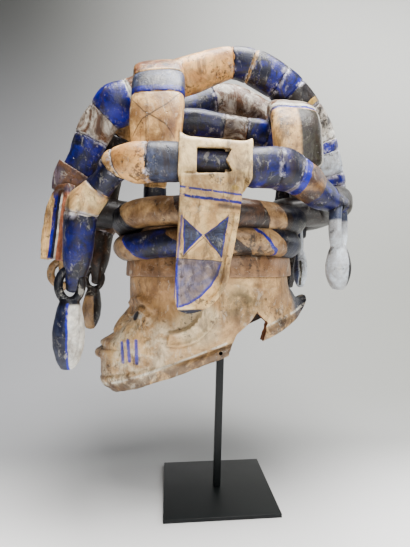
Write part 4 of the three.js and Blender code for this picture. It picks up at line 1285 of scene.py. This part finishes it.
def front_sheath(material):
    t0, t1 = ARCH_LEFT.where(2, FRONT_LOOP_BOTTOM), ARCH_LEFT.where(2, FRONT_LOOP_TOP)
    width, length = FRONT_SHEATH_WIDTH, FRONT_SHEATH_LENGTH
    outline = [
        (width * 0.5, 0), (width * 0.95, 0), (width * 1.04, length * 0.98), (width * 0.82, length * 0.985),
        (width * 0.6, length), (width * 0.45, length * 0.97), (width * 0.3, length * 0.965),
        (0, length * 0.98), (0, length * 0.6), (width * 0.12, length * 0.28), (width * 0.3, length * 0.12),
    ]
    place = front_place()
    panel = panel_mesh("panel", outline, SHEATH_THICKNESS, place, material)
    field = inner(outline, SHEATH_BORDER)
    field = [(u, v + (SHEATH_BORDER * 1.6 if v > length * 0.85 else 0)) for u, v in field]
    cut = panel_mesh("field", field, SHEATH_RECESS * 2, place, material, low=SHEATH_THICKNESS - SHEATH_RECESS)
    combine(panel, cut, "DIFFERENCE")
    for (u0, v0), (u1, v1) in FRONT_GROOVES:
        score = [(u0, v0), (u0 + FRONT_SCORE_WIDTH, v0), (u1 + FRONT_SCORE_WIDTH, v1 + 3), (u1, v1 + 3)]
        low = SHEATH_THICKNESS - SHEATH_RECESS - SCORE_DEPTH
        combine(panel, panel_mesh("score", score, 3, place, material, low=low), "DIFFERENCE")
    turns = np.linspace(0, math.tau, 13)[:-1]
    u, v, radius, depth = FRONT_HOLE
    hole = [(u + radius * math.cos(a), v + radius * math.sin(a)) for a in turns]
    combine(panel, panel_mesh("hole", hole, 8, place, material, low=SHEATH_THICKNESS - depth), "DIFFERENCE")
    combine(panel, room_mesh(ARCH_LEFT, 0, min(1, t1 + 0.1), 50), "DIFFERENCE")
    sheath = combine(loop_mesh(ARCH_LEFT, t0, t1, material), panel, "UNION")
    combine(sheath, room_mesh(YOKE_FRONT, 0, 0.6, 40), "DIFFERENCE")
    remesh(sheath, SHEATH_VOXEL)
    carve_by_hand(sheath, 0.6, 0.25, 20, 6)
    return sheath


def panel_plan(paint, place):
    """The panel's own u and v of each point, in millimetres."""
    turn = place.to_3x3()
    right, up = turn.col[0], turn.col[1]
    u = paint.along(right, place.translation)
    v = paint.along(up, place.translation) * -1.0
    return u, v


# The hourglass on the side sheath's field and the lines round it, and where the tip's painted shade starts,
# in the panel's own millimetres.
HOURGLASS_TOP = 41
HOURGLASS_MIDDLE = (23.5, 61.7)
HOURGLASS_FOOT = (85.5, 89.5)
SHADED_TIP_TOP = 141
SIDE_STRIPES = [((-1, 13), (65, 20.5), 2.2), ((-1, 21), (65, 28.5), 3.0)]


def side_sheath_paint(name, place, mottle, full):
    paint = Paint(name)
    u, v = panel_plan(paint, place)
    waver = paint.noise(110, 3, 0.5)
    u = waver * 2.2 + (u - 1.1)
    v = paint.noise(90, 3, 0.5, place=paint.vector("ADD", paint.place, (3, 1, 2))) * 2.2 + (v - 1.1)
    clouds = paint.step(paint.noise(30, 5, 0.65, distortion=1.0), 0.52, 0.12)
    color = paint.mix(clouds * 0.8, "tan", "cream")
    above = 1.0 - paint.step(v, 3.0, 1.0)
    color = paint.mix(above * 0.7, color, "cream")
    blue = paint.mix(paint.step(paint.noise(130, 6, 0.7, stretch=(1, 0.3, 1)), 0.5, 0.12), "indigo", mottle)
    left, right = 2.8, 50.0
    mu, mv = HOURGLASS_MIDDLE
    wings = (
        ((left, HOURGLASS_TOP + 3), (mu - 0.6, mv), (left, 83)),
        ((right, HOURGLASS_TOP + 1), (mu + 0.8, mv), (right - 7, 86)),
    )
    for corners in wings:
        inside, depth = paint.polygon(u, v, corners)
        rim = inside * (1.0 - paint.step(depth, 1.6, 0.7))
        color = paint.mix(inside, color, blue)
        color = paint.mix(rim * 0.75, color, "cobalt")
    foot = ((-6, HOURGLASS_FOOT[0]), (44, HOURGLASS_FOOT[1]), (40, 104), (33, 116), (22, 128), (8, 137),
        (-4, 139))
    inside, depth = paint.polygon(u, v, foot)
    rim = inside * (1.0 - paint.step(depth, 2.6, 1.4))
    grey = paint.mix(clouds, (104, 100, 128), (160, 140, 130))
    color = paint.mix(inside, color, grey)
    below = paint.step(v, 92.0, 2.0)
    color = paint.mix(rim * below * 0.9, color, "cobalt")
    for start, end in (((left, 44), (43, 84)), ((right, 41), (left, 84)), ((-4, 86), (44, 89.5))):
        line = paint.line(u, v, start, end, 0.9, 0.35)
        color = paint.mix(line * 0.75, color, "dark_brown")
    if full:
        for start, end, width in SIDE_STRIPES:
            stripe = paint.line(u, v, start, end, width, 0.7)
            broken = paint.step(paint.noise(160, 3, 0.6), 0.38, 0.04)
            color = paint.mix(stripe * broken, color, "cobalt")
        edge = paint.line(u, v, (40, 31), (62, 33.5), 4.5, 1.6)
        color = paint.mix(edge * 0.7, color, "indigo")
        # A small yellow spot near the top right: painted highlight
        dot = paint.line(u, v, (54, 13), (57, 14), 4.5, 0.8)
        color = paint.mix(dot, color, "yellow")
        rag = paint.line(u, v, (left - 1.5, 42), (-8, 139), 2.2, 0.6)
        color = paint.mix(rag * 0.8, color, "cobalt")
    # The tip below this height is painted dark blue: painted shade in the gap under the sheath's tip
    shaded_tip = paint.step(v, SHADED_TIP_TOP, 1.0)
    color = paint.mix(shaded_tip, color, "indigo")
    return paint.wear(color, loss=0.45, chalk=0.2, grime_and_shade=0.9)


def front_sheath_paint(place):
    paint = Paint("front_sheath")
    u, v = panel_plan(paint, place)
    waver = paint.noise(100, 3, 0.5) * 2.6 + (u - 1.3)
    lean = v * 0.1 + waver
    lean = (lean + 10.0) / 80.0
    stops = [
        (0.0, "tan", 1), (0.36, "cobalt", 1), (0.43, "indigo", 1), (0.5, "white", 1), (0.54, "salmon", 1),
        (0.67, "tan", 1), (0.7, "cobalt", 1), (0.8, "brown", 1),
    ]
    color, _ = paint.ramp(lean, stops)
    top = 1.0 - paint.step(v, 12.0, 4.0)
    clouds = paint.step(paint.noise(40, 5, 0.65, distortion=1.0), 0.5, 0.12)
    collar = paint.mix(clouds, "brown", (84, 72, 86))
    color = paint.mix(top, color, collar)
    return paint.wear(color, loss=0.5, chalk=0.25)


# Paint of the head, the wrap, the inside and the rest


def head_paint():
    paint = Paint("head")
    height = paint.along((0, 0, 1))
    ahead = paint.along((0, -1, 0))
    side = abs(paint.along((1, 0, 0)))
    clouds = paint.step(paint.noise(22, 6, 0.65, distortion=0.5), 0.5, 0.14)
    color = paint.mix(clouds, (230, 190, 132), (190, 148, 98))
    fore = paint.step(height, 258.0, 20.0) * paint.step(ahead, 30.0, 40.0)
    color = paint.mix(fore * 0.5, color, (184, 136, 88))
    face = paint.step(ahead, 60.0, 30.0) * (1.0 - paint.step(height, 250.0, 14.0))
    pale = paint.step(paint.noise(45, 6, 0.68), 0.5, 0.09) * face
    color = paint.mix(pale * 0.8, color, (248, 232, 196))
    flecked = paint.step(paint.noise(85, 7, 0.75, stretch=(1, 1, 0.7)), 0.56, 0.05)
    smear = flecked * paint.step(ahead, 92.0, 22.0)
    color = paint.mix(smear * 0.75, color, (72, 50, 36))
    mouth = paint.near((0, -168, 200), 44, 16)
    color = paint.mix(mouth * 0.5, color, (124, 80, 54))
    ear = paint.near((86, -30, 246), 27, 7) * paint.step(paint.noise(40, 5, 0.6), 0.4, 0.12)
    color = paint.mix(ear * 0.7, color, (246, 226, 182))
    for a, b in CHEEK_MARKS:
        mark = paint.line(ahead, height, (-a[1], a[2]), (-b[1], b[2]), 4.4, 0.9)
        mark = mark * paint.step(side, 40.0, 4.0)
        color = paint.mix(mark * 0.85, color, (44, 54, 190))
    eye = paint.line(side, height, (36, 253.5), (54, 254), 6.0, 0.8)
    eye = eye * paint.step(ahead, 70.0, 5.0)
    color = paint.mix(eye * 0.8, color, (206, 202, 190))
    for x in (1, -1):
        color = paint.mix(paint.near((x * 45.5, -108.5, 253.8), 6.4, 0.8), color, (10, 12, 38))
    stain = paint.near((84, 22, 272), 22, 14)
    patches = paint.step(paint.noise(40, 5, 0.7), 0.45, 0.12)
    color = paint.mix(stain * patches * 0.8, color, (74, 68, 46))
    back = paint.step(ahead, -96.0, 5.0) * -1.0
    color = paint.mix(back + 1.0, color, "indigo")
    band = paint.step(height, HEADBAND_BOTTOM - 0.5, 0.6)
    color = paint.mix(band * 0.9, color, (142, 104, 70))
    rim = height - (ahead * -RIM_SLOPE + (CHIN_HEIGHT - RIM_SLOPE * (HEAD_FRONT - HEAD_LENGTH * 0.11)))
    # A pale line along the upper edge of the rim's border: painted highlight
    rim_highlight = 1.0 - paint.step(abs(rim - 17.0), 1.4, 0.8)
    rim_highlight = rim_highlight * paint.step(paint.noise(60, 4, 0.6), 0.46, 0.05)
    # The rim's border darker, in patches: painted shade below the painted highlight
    low = 1.0 - paint.step(rim, 15.0, 4.0)
    low = low * paint.step(paint.noise(35, 6, 0.7, distortion=1.0), 0.44, 0.08)
    color = paint.mix(low * 0.85, color, (92, 68, 48))
    color = paint.mix(rim_highlight * 0.8, color, (246, 240, 222))
    return paint.wear(color, loss=0.3, chalk=0.3, grime_and_shade=0.75, gloss=0.38)


def roll_paint(name, sections, slant):
    """A roll's colours go round the head, each meeting the next on a slant."""
    paint = Paint(name)
    u, v = paint.mapped("lay")
    tilt = paint.math("SINE", v * math.tau)
    where = tilt * slant + u
    where = paint.noise(60, 3, 0.5) * 0.014 + where
    where = paint.math("FRACT", where + 1.0)
    color, _ = paint.ramp(where, [(t, tint, 1.0) for t, tint, _, _ in sections])
    tint, amount = paint.ramp(where, [(t, mottle, amount) for t, _, mottle, amount in sections])
    clouds = paint.step(paint.noise(30, 6, 0.66, distortion=1.2), 0.52, 0.1)
    color = paint.mix(clouds * amount, color, tint)
    return paint.wear(color, loss=0.5, chalk=0.16)


UPPER_ROLL = [
    (0.0, "dark_brown", "brown", 0.6), (0.062, "wrap_tan", "brown", 0.7), (0.1, "dark_brown", "brown", 0.5),
    (0.12, "indigo", "night", 0.6), (0.2, "brown", "dark_brown", 0.6), (0.36, "indigo", "night", 0.5),
    (0.5, "wrap_tan", "brown", 0.5), (0.62, "indigo", "cobalt", 0.4), (0.7, "brown", "wrap_tan", 0.6),
    (0.77, "night", "indigo", 0.8), (0.845, "wrap_tan", "brown", 0.6), (0.955, "dark_brown", "brown", 0.6),
]
LOWER_ROLL = [
    (0.0, "dark_brown", "brown", 0.6), (0.02, "wrap_tan", "brown", 0.6), (0.066, "cobalt", "indigo", 0.3),
    (0.072, "wrap_tan", "brown", 0.6), (0.1, "indigo", "night", 0.5), (0.2, "brown", "dark_brown", 0.6),
    (0.4, "indigo", "cobalt", 0.4), (0.55, "wrap_tan", "brown", 0.5), (0.7, "indigo", "night", 0.5),
    (0.77, "wrap_tan", "brown", 0.55), (0.842, "cobalt", "indigo", 0.4), (0.85, "indigo", "cobalt", 0.45),
    (0.95, "wrap_tan", "brown", 0.6),
]


def plain_wood(name, light, dark, **finish):
    paint = Paint(name)
    grain = paint.noise(40, 6, 0.7, stretch=(1, 1, 0.12), distortion=1.0)
    color = paint.mix(paint.step(grain, 0.5, 0.15), dark, light)
    return paint.wear(color, **finish)


def drop_paint(name, top, left, right, split, streak=None):
    """A pendant's paint: its ring, and its drop in two halves either side of a plane facing along Y."""
    paint = Paint(name)
    across = paint.along((0, 1, 0))
    height = paint.along((0, 0, 1))
    waver = paint.noise(80, 3, 0.5) * 4.0 + across
    half = paint.step(waver, split[0] + 2.0, 0.8)
    clouds = paint.step(paint.noise(70, 6, 0.7, distortion=1.0), 0.52, 0.1)
    body = paint.mix(half, left, right)
    body = paint.mix(clouds * 0.3, body, "slate" if right != "wrap_tan" else "brown")
    color = paint.mix(paint.step(height, split[1], 2.0), body, top)
    if streak:
        y, low, high, width, tint = streak
        line = paint.line(waver, height, (y + 2.0, low), (y + 2.0, high), width, 0.8)
        color = paint.mix(line, color, tint)
    return paint.wear(color, loss=0.35, chalk=0.3, grime_and_shade=0.7, gloss=0.36)


def steel_paint():
    paint = Paint("satin_steel")
    fine = paint.noise(900, 2, 0.5)
    smears = paint.noise(14, 4, 0.6)
    color = paint.mix(smears, (9, 12, 13), (15, 19, 20))
    paint.give(paint.shader.inputs["Base Color"], color)
    paint.give(paint.shader.inputs["Roughness"], smears * 0.16 + 0.36)
    paint.shader.inputs["Specular IOR Level"].default_value = 0.25
    bump_node = paint.tree.nodes.new("ShaderNodeBump")
    bump_node.inputs["Strength"].default_value = 0.25
    bump_node.inputs["Distance"].default_value = 0.1 * MM
    paint.give(bump_node.inputs["Height"], fine)
    paint.give(paint.shader.inputs["Normal"], Value(paint, bump_node.outputs[0]))
    return paint.material


# Stand


def steel_piece(name, low_ring, high_ring, material):
    piece = skin(name, [low_ring, high_ring], material)
    step = piece.modifiers.new("edge", "BEVEL")
    step.width = STEEL_BEVEL * MM
    step.segments = 3
    step.limit_method = "ANGLE"
    settle(piece)
    smooth_over(piece, SHARP_STEEL)
    return piece


def square(side, y, z):
    half = side / 2
    return np.array([(half, y - half, z), (half, y + half, z), (-half, y + half, z), (-half, y - half, z)])


# Make everything

paints = {
    "head": head_paint(),
    "upper_roll": roll_paint("upper_roll", UPPER_ROLL, 0.012),
    "lower_roll": roll_paint("lower_roll", LOWER_ROLL, 0.03),
    "inside": plain_wood("inside_wood", (78, 54, 36), (38, 26, 19), loss=0.2, chalk=0.08),
    "raw": plain_wood("broken_wood", (190, 122, 66), (120, 70, 36), loss=0.1, chalk=0.05, gloss=0.6),
}

carving = mask_piece(paints)
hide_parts("mask")
pieces = [(carving, "painted_wood")]

left_place = side_place(SIDE_LEFT, 1)
right_place = side_place(SIDE_RIGHT, -1)
sheath = side_sheath(SIDE_LEFT, 1, side_sheath_paint("side_sheath", left_place, "slate", True))
sheath.name = "carved_sheath_left"
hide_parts("sheath_left")
pieces.append((sheath, "painted_wood"))
sheath = side_sheath(SIDE_RIGHT, -1, side_sheath_paint("far_sheath", right_place, "night", False))
sheath.name = "carved_sheath_right"
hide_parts("sheath_right")
pieces.append((sheath, "painted_wood"))
sheath = front_sheath(front_sheath_paint(front_place()))
sheath.name = "carved_sheath_front"
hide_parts("sheath_front")
pieces.append((sheath, "painted_wood"))

drop_paints = {
    "pendant_front_left": drop_paint("drop_front_left", "night", "indigo", "white", (-177, 275),
                                     streak=(-177, 190, 276, 2.6, "cobalt")),
    "pendant_front_middle": drop_paint("ring_front_middle", "wrap_tan", "wrap_tan", "brown", (-196, 290)),
    "pendant_front_right": drop_paint(
        "drop_front_right", "dark_brown", "wrap_tan", "dark_brown", (-188, 270)
    ),
    "pendant_back_left": drop_paint("drop_back_left", "slate", "silver", "wrap_tan", (149, 372),
                                    streak=(146, 294, 338, 7.5, "night")),
    "pendant_back_right": drop_paint("drop_back_right", "indigo", "slate", "silver", (134, 375),
                                     streak=(137, 290, 325, 3.5, "moss")),
}
for pendant in PENDANTS:
    piece = pendant_piece(pendant, drop_paints[pendant["name"]])
    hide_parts(pendant["name"])
    pieces.append((piece, "painted_wood"))

steel = steel_paint()
rod_low = PLATE_THICKNESS + FIT_GAP
rod_high = CROWN_HEIGHT - CROWN_WALL + SOCKET_DEPTH - FIT_GAP
rod_foot = square(ROD_SIDE, ROD_LEAN * rod_low, rod_low)
rod_head = square(ROD_SIDE, ROD_LEAN * rod_high, rod_high)
rod = steel_piece("rod", rod_foot, rod_head, steel)
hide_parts("stand_rod")
plate = steel_piece("plate", square(PLATE_SIDE, 0, 0), square(PLATE_SIDE, 0, PLATE_THICKNESS), steel)
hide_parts("stand_plate")
pieces += [(rod, "stand_steel"), (plate, "stand_steel")]

for piece, slot in pieces:
    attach(piece, "root")

# Floor and backdrop in one sweep

FLOOR_REACH = 2600
FLOOR_FRONT = 2200
WALL_HEIGHT = 2800
WALL_DISTANCE = 250
SWEEP_RADIUS = 650


def sweep():
    turns = [(math.sin(a), 1 - math.cos(a)) for a in np.radians(np.linspace(0, 90, 19))]
    profile = [(FLOOR_FRONT, 0)]
    profile += [(-WALL_DISTANCE - SWEEP_RADIUS * away, SWEEP_RADIUS * up) for away, up in turns]
    profile.append((-WALL_DISTANCE - SWEEP_RADIUS, WALL_HEIGHT))
    points = [(x, y, z) for x, z in profile for y in (-FLOOR_REACH, FLOOR_REACH)]
    faces = [(2 * i, 2 * i + 1, 2 * i + 3, 2 * i + 2) for i in range(len(profile) - 1)]
    paint = Paint("backdrop")
    # The sweep's colour is painted light and shade: the wall darker to the upper left and brighter to the
    # right, the near floor bright and the far floor greyer
    side = paint.step(paint.along((0, 1, 0)), 330.0, 1000.0)
    away = paint.along((-1, 0, 0))
    high = paint.step(paint.along((0, 0, 1)), 720.0, 560.0)
    upper = paint.mix(side, (52, 53, 52), (226, 227, 223))
    lower = paint.mix(side, (140, 141, 145), (156, 157, 150))
    wall = paint.mix(high, lower, upper)
    far_floor_shading = paint.mix(side, (138, 139, 142), (166, 167, 162))
    floor_shading = paint.mix(paint.step(away, 10.0, 150.0), (240, 240, 240), far_floor_shading)
    tint = paint.mix(paint.step(away, 300.0, 110.0), floor_shading, wall)
    paint.give(paint.shader.inputs["Base Color"], tint)
    paint.shader.inputs["Roughness"].default_value = 0.75
    floor = mesh_object("backdrop", points, faces, paint.material)
    floor.data.shade_smooth()
    return floor


floor = sweep()


# Light

def area_light(name, place, target, size, power, color=(1, 1, 1)):
    data = bpy.data.lights.new(name, "AREA")
    data.shape = "RECTANGLE"
    data.size, data.size_y = size
    data.energy = power
    data.color = color
    light = bpy.data.objects.new(name, data)
    light.location = place
    light.rotation_euler = (Vector(target) - Vector(place)).to_track_quat("-Z", "Y").to_euler()
    bpy.context.scene.collection.objects.link(light)


area_light("overhead", (0.25, 0.1, 1.55), (0, 0, 0.35), (0.8, 0.9), 74, (1.0, 0.985, 0.96))
area_light("front", (1.6, 0.3, 1.1), (0, 0, 0.3), (0.9, 0.9), 21, (1.0, 0.99, 0.97))
area_light("right", (-0.1, 1.5, 1.0), (-0.1, 0, 0.4), (0.8, 1.0), 14, (0.97, 0.99, 1.0))

world = bpy.data.worlds.new("studio")
world.use_nodes = True
world.node_tree.nodes["Background"].inputs["Color"].default_value = (0.9, 0.93, 1.0, 1)
world.node_tree.nodes["Background"].inputs["Strength"].default_value = 0.07
bpy.context.scene.world = world

# Camera

CAMERA_PLACE = (0.5784, -0.0669, 0.3177)
CAMERA_YAW = math.radians(5)
CAMERA_PITCH = math.radians(1)
PICTURE_HEIGHT = 547
PICTURE_DISTANCE = 411
VERTICAL_VIEW = 2 * math.atan(PICTURE_HEIGHT / 2 / PICTURE_DISTANCE)

camera_data = bpy.data.cameras.new("camera")
camera_data.sensor_fit = "VERTICAL"
camera_data.angle = VERTICAL_VIEW
camera_data.clip_start = 0.01
camera = bpy.data.objects.new("camera", camera_data)
look = Vector((-math.cos(CAMERA_YAW), math.sin(CAMERA_YAW), -math.tan(CAMERA_PITCH)))
camera.location = CAMERA_PLACE
camera.rotation_euler = look.to_track_quat("-Z", "Y").to_euler()
bpy.context.scene.collection.objects.link(camera)
bpy.context.scene.camera = camera
